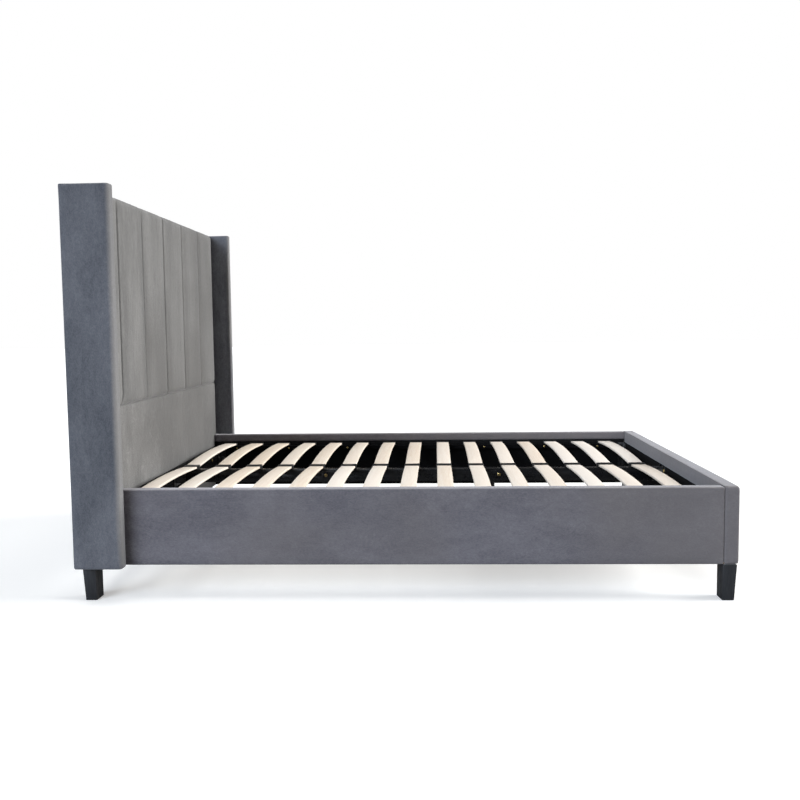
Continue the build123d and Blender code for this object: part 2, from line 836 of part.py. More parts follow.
def main():
    os.makedirs("parts", exist_ok=True)

    save_pair("headboard_stile", headboard_stile())
    save("headboard_top_rail", headboard_top_rail())
    save("headboard_seam_rail", headboard_seam_rail())
    save("headboard_deck_rail", headboard_deck_rail())
    save("headboard_battens", *headboard_battens())
    save("headboard_face_board", headboard_face_board())
    save("headboard_channel_pad", headboard_channel_pad())
    save("headboard_lower_pad", headboard_lower_pad())
    save("headboard_back_cover", headboard_back_cover())

    save_pair("wing_core", wing_core())
    save_pair("wing_cover", wing_cover())
    save("wing_bolts", *paired_bolts(wing_bolt_seats(), wing_bolt_radius, wing_bolt_length,
                                     wing_bolt_head_radius, bolt_head_height))

    save_pair("side_rail_board", side_rail_board())
    save_pair("side_rail_cover", side_rail_cover())
    save_pair("side_rail_lining", side_rail_lining())
    save_pair("side_cleat", side_cleat())
    save("cleat_screws", *paired_bolts(cleat_screw_seats(), screw_radius, screw_length,
                                       screw_head_radius, screw_head_height))

    save("foot_rail_board", foot_rail_board())
    save("foot_rail_cover", foot_rail_cover())
    save("foot_rail_lining", foot_rail_lining())
    save("head_cross_rail", head_cross_rail())
    save("cross_rail_bolts", *bolts_at(cross_bolt_seats(), bolt_radius, cross_bolt_length,
                                       bolt_head_radius, bolt_head_height))

    save("corner_brackets", *corner_brackets())
    rail_seats = rail_bracket_seats()
    end_seats = end_bracket_seats()
    foot_seats = [seat for seat in end_seats if seat[1] == to_head]
    head_seats = [seat for seat in end_seats if seat[1] == to_foot]
    bracket_bolts = []
    for seats, length in ((rail_seats, rail_bolt_length), (foot_seats, foot_bolt_length),
                          (head_seats, head_bolt_length)):
        bracket_bolts += paired_bolts(seats, bolt_radius, length, bolt_head_radius, bolt_head_height)
    save("bracket_bolts", *bracket_bolts)

    save("beam_hangers", *beam_hangers())
    foot_hanger = [seat for seat in hanger_seats() if seat[1] == to_head]
    head_hanger = [seat for seat in hanger_seats() if seat[1] == to_foot]
    hanger_bolts = bolts_at(foot_hanger, bolt_radius, foot_bolt_length, bolt_head_radius, bolt_head_height)
    hanger_bolts += bolts_at(head_hanger, bolt_radius, head_bolt_length, bolt_head_radius, bolt_head_height)
    save("hanger_bolts", *hanger_bolts)
    save("centre_beam", centre_beam())

    for end, place in (("foot", row_middle - centre_leg_offset), ("head", row_middle + centre_leg_offset)):
        save(f"centre_leg_{end}", centre_leg(place))
        save(f"leg_insert_{end}", leg_insert(place))
        save(f"levelling_foot_{end}", levelling_foot(place))
    save("saddle_bolts", *bolts_at(saddle_seats(), bolt_radius, saddle_bolt_length,
                                   bolt_head_radius, bolt_head_height))
    save("saddle_nuts", *[seated(saddle_nut(), seat, way) for seat, way in saddle_seats()])

    for end, is_head in (("head", True), ("foot", False)):
        save_pair(f"leg_{end}", corner_leg(is_head))
    save("leg_plates", *(both_sides(leg_plate(True)) + both_sides(leg_plate(False))))
    save("leg_studs", *(both_sides(leg_stud(True)) + both_sides(leg_stud(False))))

    one_slat = slat()
    one_holder = side_holder()
    save("slats_right", *row(one_slat))
    save("slats_left", *row(other_side(one_slat)))
    save("side_holders_right", *row(one_holder))
    save("side_holders_left", *row(other_side(one_holder)))
    save("centre_slat_holders", *row(centre_holder()))


main()
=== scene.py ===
# Winged, channelled upholstered bed on a bowed slat base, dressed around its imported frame.
# Metres. X runs across the bed, +Y towards the headboard, +Z up. The left side is at -X.
import bpy
import bmesh
import math
import random
import numpy as np
from mathutils import Matrix, Vector, noise


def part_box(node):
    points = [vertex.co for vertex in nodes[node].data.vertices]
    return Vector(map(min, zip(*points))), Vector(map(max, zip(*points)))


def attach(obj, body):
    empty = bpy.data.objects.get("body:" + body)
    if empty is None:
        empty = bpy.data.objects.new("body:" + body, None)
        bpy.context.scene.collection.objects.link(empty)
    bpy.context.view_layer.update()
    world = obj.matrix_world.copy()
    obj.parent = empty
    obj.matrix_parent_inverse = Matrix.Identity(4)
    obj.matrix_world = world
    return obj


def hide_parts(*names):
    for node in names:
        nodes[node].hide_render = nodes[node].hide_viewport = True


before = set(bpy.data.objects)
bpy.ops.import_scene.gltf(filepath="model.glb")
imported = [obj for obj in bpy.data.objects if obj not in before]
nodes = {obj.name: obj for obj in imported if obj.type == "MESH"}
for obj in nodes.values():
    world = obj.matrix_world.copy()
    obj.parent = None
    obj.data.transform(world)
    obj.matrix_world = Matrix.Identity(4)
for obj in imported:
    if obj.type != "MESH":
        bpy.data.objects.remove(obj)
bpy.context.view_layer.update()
scene = bpy.context.scene
print("stage: frame loaded")


# Helpers for nodes

def place(tree, kind, values=None, **settings):
    # Adds a node, with its settings and the values or links of its inputs
    node = tree.nodes.new(kind)
    for key, setting in settings.items():
        setattr(node, key, setting)
    for key, value in (values or {}).items():
        if isinstance(value, bpy.types.NodeSocket):
            tree.links.new(value, node.inputs[key])
        else:
            node.inputs[key].default_value = value
    return node


def blended(tree, share, first, second, kind="MIX"):
    values = {0: share, 6: first, 7: second}    # the colour inputs of a Mix node
    return place(tree, "ShaderNodeMix", values, data_type="RGBA", blend_type=kind).outputs[2]


def maths(tree, kind, first, second=0.0):
    return place(tree, "ShaderNodeMath", {0: first, 1: second}, operation=kind).outputs[0]


# Camera, lights and floor

cameraView = {
    # its turn towards the headboard, dip and roll are in radians
    "place": (-3.4053, -0.0986, 0.8408), "turn": 0.040088, "dip": 0.081233, "roll": -0.011846,
    "lens": 39.787, "sensor": 36.0,
}


def setCamera(view):
    data = bpy.data.cameras.new("photoCamera")
    data.sensor_width = view["sensor"]
    data.lens = view["lens"]
    data.clip_end = 200
    camera = bpy.data.objects.new("photoCamera", data)
    level = math.pi / 2     # a camera without a turn looks straight down
    turns = ((view["turn"] - level, "Z"), (level - view["dip"], "X"), (view["roll"], "Z"))
    yaw, pitch, roll = (Matrix.Rotation(angle, 4, axis) for angle, axis in turns)
    camera.matrix_world = Matrix.Translation(view["place"]) @ yaw @ pitch @ roll
    scene.collection.objects.link(camera)
    scene.camera = camera


setCamera(cameraView)

studioLights = {
    # name: way to the light, strength, spread in degrees, colour
    "overhead": ((0.0, -0.05, 1.0), 1.50, 50, (1.0, 0.985, 0.96)),
    "nearBehind": ((-0.64, 0.66, 0.33), 1.64, 26, (0.79, 0.88, 1.0)),
    "nearSide": ((-0.85, 0.40, 0.36), 1.47, 26, (0.79, 0.88, 1.0)),
    "footSide": ((-0.04, -0.95, 0.32), 2.8, 20, (1.0, 0.99, 0.97)),
    "footFar": ((0.25, -0.93, 0.32), 1.85, 20, (1.0, 0.99, 0.97)),
}
worldGlow = {"seen": 1.0, "cast": 0.015}   # behind the bed, and on it
floorLook = {
    "size": 80.0, "roughness": 0.85, "glow": 0.30,
    "colour": (0.86, 0.86, 0.855, 1.0),     # as the camera sees it
    "bounced": (0.20, 0.20, 0.20, 1.0),     # as the bed's underside sees it
}


def setLights():
    for name, (way, strength, spread, colour) in studioLights.items():
        data = bpy.data.lights.new(name, "SUN")
        data.energy = strength
        data.angle = math.radians(spread)
        data.color = colour
        lamp = bpy.data.objects.new(name, data)
        lamp.rotation_mode = "QUATERNION"
        lamp.rotation_quaternion = Vector(way).to_track_quat("Z", "Y")
        scene.collection.objects.link(lamp)


def setWorld(glow):
    world = bpy.data.worlds.new("studio")
    world.use_nodes = True
    tree = world.node_tree
    tree.nodes.clear()
    values = {0: place(tree, "ShaderNodeLightPath").outputs["Is Camera Ray"]}
    for key, strength in ((1, glow["cast"]), (2, glow["seen"])):
        white = place(tree, "ShaderNodeBackground", {"Color": (1, 1, 1, 1), "Strength": strength})
        values[key] = white.outputs[0]
    pick = place(tree, "ShaderNodeMixShader", values)
    place(tree, "ShaderNodeOutputWorld", {0: pick.outputs[0]})
    scene.world = world


def setFloor(look):
    bm = bmesh.new()
    bmesh.ops.create_grid(bm, x_segments=8, y_segments=8, size=look["size"] / 2)
    mesh = bpy.data.meshes.new("paleFloor")
    bm.to_mesh(mesh)
    bm.free()
    material = bpy.data.materials.new("palePaper")
    material.use_nodes = True
    tree = material.node_tree
    shader = tree.nodes["Principled BSDF"]
    shader.inputs["Roughness"].default_value = look["roughness"]
    shader.inputs["Emission Color"].default_value = (1, 1, 1, 1)
    isSeen = place(tree, "ShaderNodeLightPath").outputs["Is Camera Ray"]
    tree.links.new(blended(tree, isSeen, look["bounced"], look["colour"]), shader.inputs["Base Color"])
    tree.links.new(maths(tree, "MULTIPLY", isSeen, look["glow"]), shader.inputs["Emission Strength"])
    mesh.materials.append(material)
    floor = bpy.data.objects.new("paleFloor", mesh)
    scene.collection.objects.link(floor)


scene.view_settings.view_transform = "Standard"   # white stays white
setLights()
setWorld(worldGlow)
setFloor(floorLook)
print("stage: camera, lights and floor set")


# Shared effects, as node groups

def startGroup(name, inputs):
    # A node group whose inputs take their kind from the values given
    tree = bpy.data.node_groups.new(name, "ShaderNodeTree")
    for label, value in inputs.items():
        kind = "Float" if isinstance(value, float) else "Vector" if len(value) == 3 else "Color"
        socket = tree.interface.new_socket(label, in_out="INPUT", socket_type="NodeSocket" + kind)
        socket.default_value = value
    for label, kind in (("Color", "Color"), ("Roughness", "Float"), ("Height", "Float")):
        tree.interface.new_socket(label, in_out="OUTPUT", socket_type="NodeSocket" + kind)
    return tree, tree.nodes.new("NodeGroupInput").outputs


def endGroup(tree, colour, roughness, height):
    place(tree, "NodeGroupOutput", {"Color": colour, "Roughness": roughness, "Height": height})
    return tree


def stretched(tree, scale):
    where = place(tree, "ShaderNodeTexCoord").outputs["Object"]
    return place(tree, "ShaderNodeMapping", {"Vector": where, "Scale": scale}).outputs[0]


def noiseOf(tree, where, scale, detail=2.0, rough=0.5, distortion=0.0):
    values = {"Vector": where, "Scale": scale, "Detail": detail, "Roughness": rough,
              "Distortion": distortion}
    return place(tree, "ShaderNodeTexNoise", values).outputs["Fac"]


def ranged(tree, value, low, high, newLow=0.0, newHigh=1.0):
    values = {"Value": value, "From Min": low, "From Max": high, "To Min": newLow, "To Max": newHigh}
    return place(tree, "ShaderNodeMapRange", values, interpolation_type="SMOOTHSTEP").outputs[0]


def times(tree, first, second):
    return maths(tree, "MULTIPLY", first, second)


def fromHalf(tree, value):
    return maths(tree, "ABSOLUTE", maths(tree, "SUBTRACT", value, 0.5))


def weighted(tree, *parts):
    # The sum of (value, weight) parts
    total = None
    for value, weight in parts:
        part = times(tree, value, weight)
        total = part if total is None else maths(tree, "ADD", total, part)
    return total


anyColour = (0.5, 0.5, 0.5, 1.0)    # each material gives its own


def velvetPile():
    # Short pile: broad soft patches, brushed streaks along and across the cloth, and a fine nap
    tree, given = startGroup("velvetPile", {
        "Pile": anyColour, "Brushed": anyColour, "Faded": anyColour, "Lie": (1, 1, 0.4), "Patches": 5.0,
        "Strokes": 60.0, "Weave": 230.0, "Nap": 900.0, "Marks": 0.08, "Drift": (0, 0, 0), "Start": 0.0})
    even, brushed = stretched(tree, (1, 1, 1)), stretched(tree, given["Lie"])
    # The drift leans the broad patches across the piece towards the drift tone; the wings use it for a
    # painted sheen on their front edges, the headboard for painted shade to its lower right, and the
    # rails for a warmer tone towards the foot
    drift = place(tree, "ShaderNodeVectorMath", {0: even, 1: given["Drift"]}, operation="DOT_PRODUCT")
    wide = maths(tree, "ADD", noiseOf(tree, even, 1.7, 2, 0.5, 0.4), drift.outputs["Value"])
    wide = ranged(tree, maths(tree, "ADD", wide, given["Start"]), 0.32, 0.68)
    patches = ranged(tree, noiseOf(tree, brushed, given["Patches"], 4, 0.6, 0.5), 0.35, 0.65)
    strokes = ranged(tree, noiseOf(tree, brushed, given["Strokes"], 4, 0.6, 0.5), 0.34, 0.66)
    weave = ranged(tree, noiseOf(tree, brushed, given["Weave"], 2, 0.6, 0.2), 0.30, 0.70)
    veins = ranged(tree, fromHalf(tree, noiseOf(tree, even, 17.0, 3, 0.6, 1.8)), 0.050, 0.0)
    crushed = times(tree, veins, ranged(tree, noiseOf(tree, even, 6.0, 3, 0.6, 0.5), 0.46, 0.60))
    nap = noiseOf(tree, even, given["Nap"], 2, 0.6)
    lie = weighted(tree, (patches, 0.44), (strokes, 0.22), (weave, 0.34))
    colour = blended(tree, lie, given["Pile"], given["Brushed"])
    colour = blended(tree, times(tree, wide, 0.65), colour, given["Faded"])
    wisps = maths(tree, "ADD", times(tree, crushed, given["Marks"]), 1.0)
    speck = times(tree, ranged(tree, nap, 0.3, 0.7, 0.86, 1.12), wisps)
    height = weighted(tree, (nap, 0.4), (weave, 0.3), (strokes, 0.5))
    colour = blended(tree, 1.0, colour, speck, "MULTIPLY")
    return endGroup(tree, colour, ranged(tree, lie, 0.0, 1.0, 0.78, 0.96), height)


def woodGrain():
    # Long fibres along one axis, with broad figure and fine pores
    tree, given = startGroup("woodGrain", {
        "Light": anyColour, "Dark": anyColour, "Along X": 1.0, "Along Y": 1.0, "Along Z": 1.0,
        "Figure": 6.0, "Pores": 60.0})
    lay = place(tree, "ShaderNodeCombineXYZ", {axis: given["Along " + axis] for axis in "XYZ"})
    fibres = stretched(tree, lay.outputs[0])
    figure = ranged(tree, noiseOf(tree, fibres, given["Figure"], 4, 0.55, 1.2), 0.3, 0.7)
    pores = ranged(tree, noiseOf(tree, fibres, given["Pores"], 3, 0.6, 0.4), 0.35, 0.62)
    mixed = weighted(tree, (figure, 0.6), (pores, 0.4))
    return endGroup(tree, blended(tree, mixed, given["Light"], given["Dark"]),
                    ranged(tree, pores, 0.0, 1.0, 0.42, 0.6), maths(tree, "SUBTRACT", 1.0, pores))


def plyGrain():
    # A peeled birch face with its own tint on each slat, and glue lines where the plies show on its sides
    tree, given = startGroup("plyGrain", {
        "Light": anyColour, "Dark": anyColour, "Pale": anyColour, "Glue": (0.36, 0.25, 0.15, 1)})
    tint, ply = (place(tree, "ShaderNodeAttribute", attribute_name=name).outputs["Fac"]
                 for name in ("tint", "ply"))
    where = place(tree, "ShaderNodeTexCoord").outputs["Object"]
    shift = place(tree, "ShaderNodeCombineXYZ", {"X": times(tree, tint, 9.0)}).outputs[0]
    lay = {"Vector": where, "Location": shift, "Scale": (1.3, 26, 26)}
    fibres = place(tree, "ShaderNodeMapping", lay).outputs[0]
    figure = ranged(tree, noiseOf(tree, fibres, 2.2, 4, 0.55, 1.2), 0.32, 0.68)
    pores = ranged(tree, noiseOf(tree, fibres, 15.0, 3, 0.65, 0.3), 0.36, 0.64)
    wood = blended(tree, weighted(tree, (figure, 0.55), (pores, 0.3)), given["Light"], given["Dark"])
    tinted = blended(tree, times(tree, tint, 0.85), wood, given["Pale"])
    layer = maths(tree, "FRACT", times(tree, maths(tree, "ADD", ply, 1.0), 2.5))     # five plies
    line = ranged(tree, fromHalf(tree, layer), 0.38, 0.47)
    side = ranged(tree, maths(tree, "ABSOLUTE", ply), 0.86, 0.78)
    glue = times(tree, times(tree, line, side), 0.7)
    height = maths(tree, "SUBTRACT", maths(tree, "SUBTRACT", 1.0, pores), glue)
    return endGroup(tree, blended(tree, glue, tinted, given["Glue"]),
                    ranged(tree, pores, 0.0, 1.0, 0.46, 0.62), height)


def fineFinish():
    # The even grain of powder coat, moulded plastic and plated metal, with faint handling marks
    tree, given = startGroup("fineFinish", {
        "Base": anyColour, "Worn": anyColour, "Grain": 1200.0, "Marks": 14.0, "Smooth": 0.35,
        "Rough": 0.55})
    even = stretched(tree, (1, 1, 1))
    marks = ranged(tree, noiseOf(tree, even, given["Marks"], 5, 0.65, 0.8), 0.45, 0.8)
    spread = maths(tree, "SUBTRACT", given["Rough"], given["Smooth"])
    return endGroup(tree, blended(tree, marks, given["Base"], given["Worn"]),
                    maths(tree, "ADD", given["Smooth"], times(tree, spread, marks)),
                    noiseOf(tree, even, given["Grain"], 2, 0.55))


def bondedCloth():
    # Non-woven lining: matted fibres pressed with a grid of small bonding dots
    tree, given = startGroup("bondedCloth", {
        "Base": anyColour, "Fibre": anyColour, "Dots": 420.0, "Fibres": 260.0})
    even = stretched(tree, (1, 1, 1))
    cells = place(tree, "ShaderNodeTexVoronoi", {"Vector": even, "Scale": given["Dots"]})
    dots = ranged(tree, cells.outputs["Distance"], 0.1, 0.45)
    fibres = noiseOf(tree, even, given["Fibres"], 4, 0.7, 1.5)
    return endGroup(tree, blended(tree, ranged(tree, fibres, 0.4, 0.7), given["Base"], given["Fibre"]),
                    ranged(tree, dots, 0.0, 1.0, 0.8, 0.95),
                    maths(tree, "ADD", times(tree, dots, 0.6), fibres))


groups = {"velvet": velvetPile(), "wood": woodGrain(), "ply": plyGrain(), "fine": fineFinish(),
          "bonded": bondedCloth()}
print("stage: shared effects built")


# Materials

def finished(name, group, groupValues, bump, bumpDepth, onShader):
    # A material: one shared effect feeds colour, roughness and relief, and the rest sits on the shader
    material = bpy.data.materials.new(name)
    material.use_nodes = True
    tree = material.node_tree
    shader = tree.nodes["Principled BSDF"]
    effect = tree.nodes.new("ShaderNodeGroup")
    effect.node_tree = groups[group]
    for key, value in groupValues.items():
        socket = effect.inputs[key]
        socket.default_value = (*value, 1) if socket.type == "RGBA" else value
    colour, roughness, height = effect.outputs
    relief = place(tree, "ShaderNodeBump", {"Height": height, "Strength": bump, "Distance": bumpDepth})
    for output, key in ((colour, "Base Color"), (roughness, "Roughness"), (relief.outputs[0], "Normal")):
        tree.links.new(output, shader.inputs[key])
    for key, value in onShader.items():
        shader.inputs[key].default_value = value
    return material


def glossy(level):
    return {"Specular IOR Level": level}


def grain(x, y, z, figure, pores):
    return {"Along X": x, "Along Y": y, "Along Z": z, "Figure": figure, "Pores": pores}


def coated(base, worn, smooth, rough, size, bump=0.12, bumpDepth=0.0002, shine=glossy(0.5)):
    values = {"Base": base, "Worn": worn, "Smooth": smooth, "Rough": rough, "Grain": size}
    return "fine", values, bump, bumpDepth, shine


def plated(base, worn, smooth, rough):
    return coated(base, worn, smooth, rough, 500.0, 0.1, 0.0001, {"Metallic": 1.0})


velvetShine = {"Sheen Weight": 0.37, "Sheen Roughness": 0.42, "Sheen Tint": (0.80, 0.81, 0.84, 1),
               **glossy(0.1)}
# how far the marks in the pile are squeezed along X, Y and Z; the drifts paint a sheen on the wings'
# front edges, paint shade on the headboard towards its lower right, where the far wing and the slats
# shade it, and make the rail cloth warmer towards the foot
alongRail, upright, allWays, crushed = (0.8, 0.5, 1.1), (1.6, 1.6, 0.28), (1.5, 1.5, 0.8), (1.3, 1.3, 0.6)
# The wings, rails and headboard are one velvet; their colours differ partly as painted light: the wing
# and rail cloths, on faces turned to the cool near-side lamps, are painted bluer and the wing cloth
# darker, and the headboard cloths, lit by the warm foot lamps, are painted more neutral
railCloth = {"Pile": (0.113, 0.108, 0.123), "Brushed": (0.206, 0.196, 0.213),
             "Faded": (0.168, 0.152, 0.148), "Lie": alongRail, "Drift": (0, -0.20, 0)}
wingCloth = {"Pile": (0.078, 0.083, 0.097), "Brushed": (0.172, 0.176, 0.196),
             "Faded": (0.214, 0.211, 0.208), "Lie": allWays, "Drift": (0, -20, 0), "Start": 17.44}
channelCloth = {"Pile": (0.104, 0.104, 0.104), "Brushed": (0.203, 0.202, 0.200),
                "Faded": (0.092, 0.090, 0.088), "Lie": upright, "Drift": (0.28, 0.0, -0.12)}
lowerCloth = {"Pile": (0.112, 0.111, 0.110), "Brushed": (0.216, 0.214, 0.211),
              "Faded": (0.076, 0.075, 0.074), "Lie": crushed, "Drift": (0.28, 0.0, -0.12),
              "Strokes": 40.0, "Marks": 0.26}
lining = {"Base": (0.005, 0.005, 0.0055), "Fibre": (0.011, 0.011, 0.012)}
birch = {"Light": (0.86, 0.765, 0.66), "Dark": (0.73, 0.605, 0.475), "Pale": (0.875, 0.82, 0.755)}
pine = {"Light": (0.60, 0.44, 0.26), "Dark": (0.44, 0.29, 0.15)}
# a near-black without shine, darker than the black wood: painted shade for the head cross rail and the
# cleats under the slats
shadedBlack = {"Light": (0.007, 0.007, 0.008), "Dark": (0.004, 0.004, 0.0045)}
stain = {"Light": (0.034, 0.035, 0.038), "Dark": (0.021, 0.021, 0.023)}
materialLook = {
    # name: shared effect, its values, strength and depth of the relief, and what sits on the shader
    "frameVelvet": ("velvet", railCloth, 0.5, 0.0008, velvetShine),
    "wingVelvet": ("velvet", wingCloth, 0.5, 0.0008, velvetShine),
    "headboardVelvet": ("velvet", channelCloth, 0.5, 0.0008, velvetShine),
    "crushedVelvet": ("velvet", lowerCloth, 0.6, 0.0010, velvetShine),
    "blackLining": ("bonded", lining, 0.3, 0.0004, glossy(0.08)),
    "birch": ("ply", birch, 0.12, 0.0002, glossy(0.35)),
    # painted shade: the black wood made darker and duller where it sits under the slats
    "mattBlack": ("wood", {**shadedBlack, **grain(1.5, 14.0, 14.0, 3.0, 26.0)}, 0.15, 0.0002, glossy(0.03)),
    "blackWood": ("wood", {**stain, **grain(14.0, 14.0, 1.5, 3.0, 26.0)}, 0.15, 0.0002, glossy(0.25)),
    "blackPlastic": coated((0.010, 0.010, 0.011), (0.018, 0.018, 0.019), 0.34, 0.5, 1200.0),
    "blackSteel": coated((0.006, 0.006, 0.007), (0.012, 0.012, 0.013), 0.26, 0.4, 900.0),
    "zinc": plated((0.52, 0.53, 0.55), (0.38, 0.39, 0.40), 0.28, 0.48),
    # zinc and brass darkened far below their plated colour: painted shade that keeps the bolts under the
    # slats without glints
    "dullZinc": plated((0.13, 0.13, 0.135), (0.08, 0.08, 0.085), 0.5, 0.65),
    "dullBrass": plated((0.20, 0.15, 0.07), (0.13, 0.10, 0.05), 0.5, 0.65),
    "brass": plated((0.66, 0.50, 0.22), (0.50, 0.36, 0.16), 0.25, 0.45),
}
for name, lay in {"Across": (1.2, 8.0, 8.0), "Along": (8.0, 1.2, 8.0), "Up": (8.0, 8.0, 1.2)}.items():
    materialLook["pine" + name] = ("wood", {**pine, **grain(*lay, 2.0, 20.0)}, 0.2, 0.0003, glossy(0.3))
finishes = {name: finished(name, *look) for name, look in materialLook.items()}
print("stage: materials built")


# Mesh helpers

sides = ("left", "right")
same = 1e-6         # points or lengths this close are one
touching = 0.002    # a vertex this close to a face of the piece's box lies on it
padThickness = 0.0095


def camel(name):
    first, *rest = name.split("_")
    return first + "".join(word.capitalize() for word in rest)


def blockMesh(low, high):
    bm = bmesh.new()
    bmesh.ops.create_cube(bm, size=1.0)
    bmesh.ops.scale(bm, vec=[b - a for a, b in zip(low, high)], verts=bm.verts)
    bmesh.ops.translate(bm, vec=[(a + b) / 2 for a, b in zip(low, high)], verts=bm.verts)
    return bm


def rounded(bm, edges, radius, steps):
    bmesh.ops.bevel(bm, geom=edges, offset=radius, segments=steps, profile=0.5, affect="EDGES",
                    material=-1)


def edgesAlong(bm, axis, parallel=0.999):
    runs = [(edge, edge.verts[1].co - edge.verts[0].co) for edge in bm.edges]
    return [edge for edge, run in runs if abs(run[axis]) > parallel * run.length]


def edgesAcross(bm, axis):
    return [e for e in bm.edges if abs(e.verts[0].co[axis] - e.verts[1].co[axis]) < same]


def cutInto(bm, axis, step, apart=0.02):
    # Divides the edges along the axis, stretch by stretch, so that flat sides become even quads
    def middle(edge):
        return (edge.verts[0].co[axis] + edge.verts[1].co[axis]) / 2

    edges = sorted((e for e in edgesAlong(bm, axis) if e.calc_length() > 1.5 * step), key=middle)
    stretches = []
    for edge in edges:
        if stretches and middle(edge) - middle(stretches[-1][-1]) < apart:
            stretches[-1].append(edge)
        else:
            stretches.append([edge])
    for stretch in stretches:
        cuts = round(max(edge.calc_length() for edge in stretch) / step) - 1
        bmesh.ops.subdivide_edges(bm, edges=stretch, cuts=cuts, use_grid_fill=True)


def splitAt(bm, axis, level):
    way = Vector((0, 0, 0))
    way[axis] = 1
    geom = bm.verts[:] + bm.edges[:] + bm.faces[:]
    bmesh.ops.bisect_plane(bm, geom=geom, dist=same, plane_co=way * level, plane_no=way)


def cutAway(bm, isGone):
    # Deletes the faces for which isGone(face, middle) holds
    gone = [face for face in bm.faces if isGone(face, face.calc_center_median())]
    bmesh.ops.delete(bm, geom=gone, context="FACES")


def gridMesh(columns, rows):
    # A grid with the column and row number of each vertex
    bm = bmesh.new()
    right, up = columns - 1, rows - 1
    bmesh.ops.create_grid(bm, x_segments=right, y_segments=up, size=0.5)
    return bm, [(v, round((v.co.x + 0.5) * right), round((v.co.y + 0.5) * up)) for v in bm.verts]


def addPiece(name, bm, finish, slotName, stands, body="bed_frame", sharpAngle=40):
    mesh = bpy.data.meshes.new(name)
    bm.to_mesh(mesh)
    bm.free()
    mesh.materials.append(finishes[finish])
    mesh.shade_smooth()
    mesh.set_sharp_from_angle(angle=math.radians(sharpAngle))
    piece = bpy.data.objects.new(name, mesh)
    scene.collection.objects.link(piece)
    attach(piece, body)
    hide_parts(stands)
    return piece


def addShape(bm, one):
    # Adds what one bmesh holds to another, and gives the new vertices
    before = len(bm.verts)
    mesh = bpy.data.meshes.new("one")
    one.to_mesh(mesh)
    bm.from_mesh(mesh)
    bpy.data.meshes.remove(mesh)
    bm.verts.ensure_lookup_table()
    return bm.verts[before:]


def triplets(source, field):
    # A vector property of a mesh's vertices as an array
    found = np.zeros(len(source) * 3, np.float32)
    source.foreach_get(field, found)
    return found.reshape(-1, 3).astype(float)


def pointsAndNormals(mesh):
    return triplets(mesh.vertices, "co"), triplets(mesh.vertex_normals, "vector")


def writePoints(mesh, points):
    mesh.vertices.foreach_set("co", points.astype(np.float32).ravel())
    mesh.update()


# Padded pieces: swelling by cloth simulation

clothSettings = {
    "quality": 5, "mass": 0.3, "tension_stiffness": 25, "compression_stiffness": 15,
    "bending_stiffness": 0.6, "vertex_group_mass": "held", "use_pressure": True,
    "uniform_pressure_force": 4.0,
}
lastFrame = 20
padWall = 0.0012
padPieces = []   # each with the most that it may swell


def addPad(name, bm, finish, slotName, node, look, isHeld):
    # The vertices that are stapled, sewn or pressed against the frame don't move in the simulation
    bmesh.ops.recalc_face_normals(bm, faces=bm.faces)
    edge = [v.is_boundary for v in bm.verts]
    piece = addPiece(name, bm, finish, slotName, node, sharpAngle=80)
    held = [v.index for v in piece.data.vertices if edge[v.index] or isHeld(v.co)]
    piece.vertex_groups.new(name="held").add(held, 1.0, "REPLACE")
    padPieces.append((piece, look["swell"]))


def swellAll():
    for piece, _ in padPieces:
        cloth = piece.modifiers.new("swell", "CLOTH")
        for key, value in clothSettings.items():
            setattr(cloth.settings, key, value)
        cloth.settings.effector_weights.gravity = 0
        cloth.point_cache.frame_start = 1
        cloth.point_cache.frame_end = lastFrame
    for step in range(1, lastFrame + 1):
        scene.frame_set(step)
    view = bpy.context.evaluated_depsgraph_get()
    swollen = [triplets(piece.evaluated_get(view).data.vertices, "co") for piece, _ in padPieces]
    for (piece, most), end in zip(padPieces, swollen):
        start, normals = pointsAndNormals(piece.data)
        shift = end - start
        inward = np.minimum((shift * normals).sum(1), 0)
        shift -= normals * inward[:, None]
        length = np.linalg.norm(shift, axis=1)
        limited = most * np.tanh(length / most) / np.maximum(length, 1e-9)
        piece.modifiers.clear()
        writePoints(piece.data, start + shift * limited[:, None])
    scene.frame_set(1)


def smoother(piece):
    # One level of subdivision, made real
    divide = piece.modifiers.new("smoother", "SUBSURF")
    divide.levels = divide.render_levels = 1
    view = bpy.context.evaluated_depsgraph_get()
    mesh = bpy.data.meshes.new_from_object(piece.evaluated_get(view))
    piece.modifiers.clear()
    old, piece.data = piece.data, mesh
    mesh.name = piece.name
    bpy.data.meshes.remove(old)


def thickened(piece, thickness):
    wall = piece.modifiers.new("clothWall", "SOLIDIFY")
    wall.thickness = thickness
    wall.offset = -1.0
    wall.use_rim = True


# Headboard: channelled pad

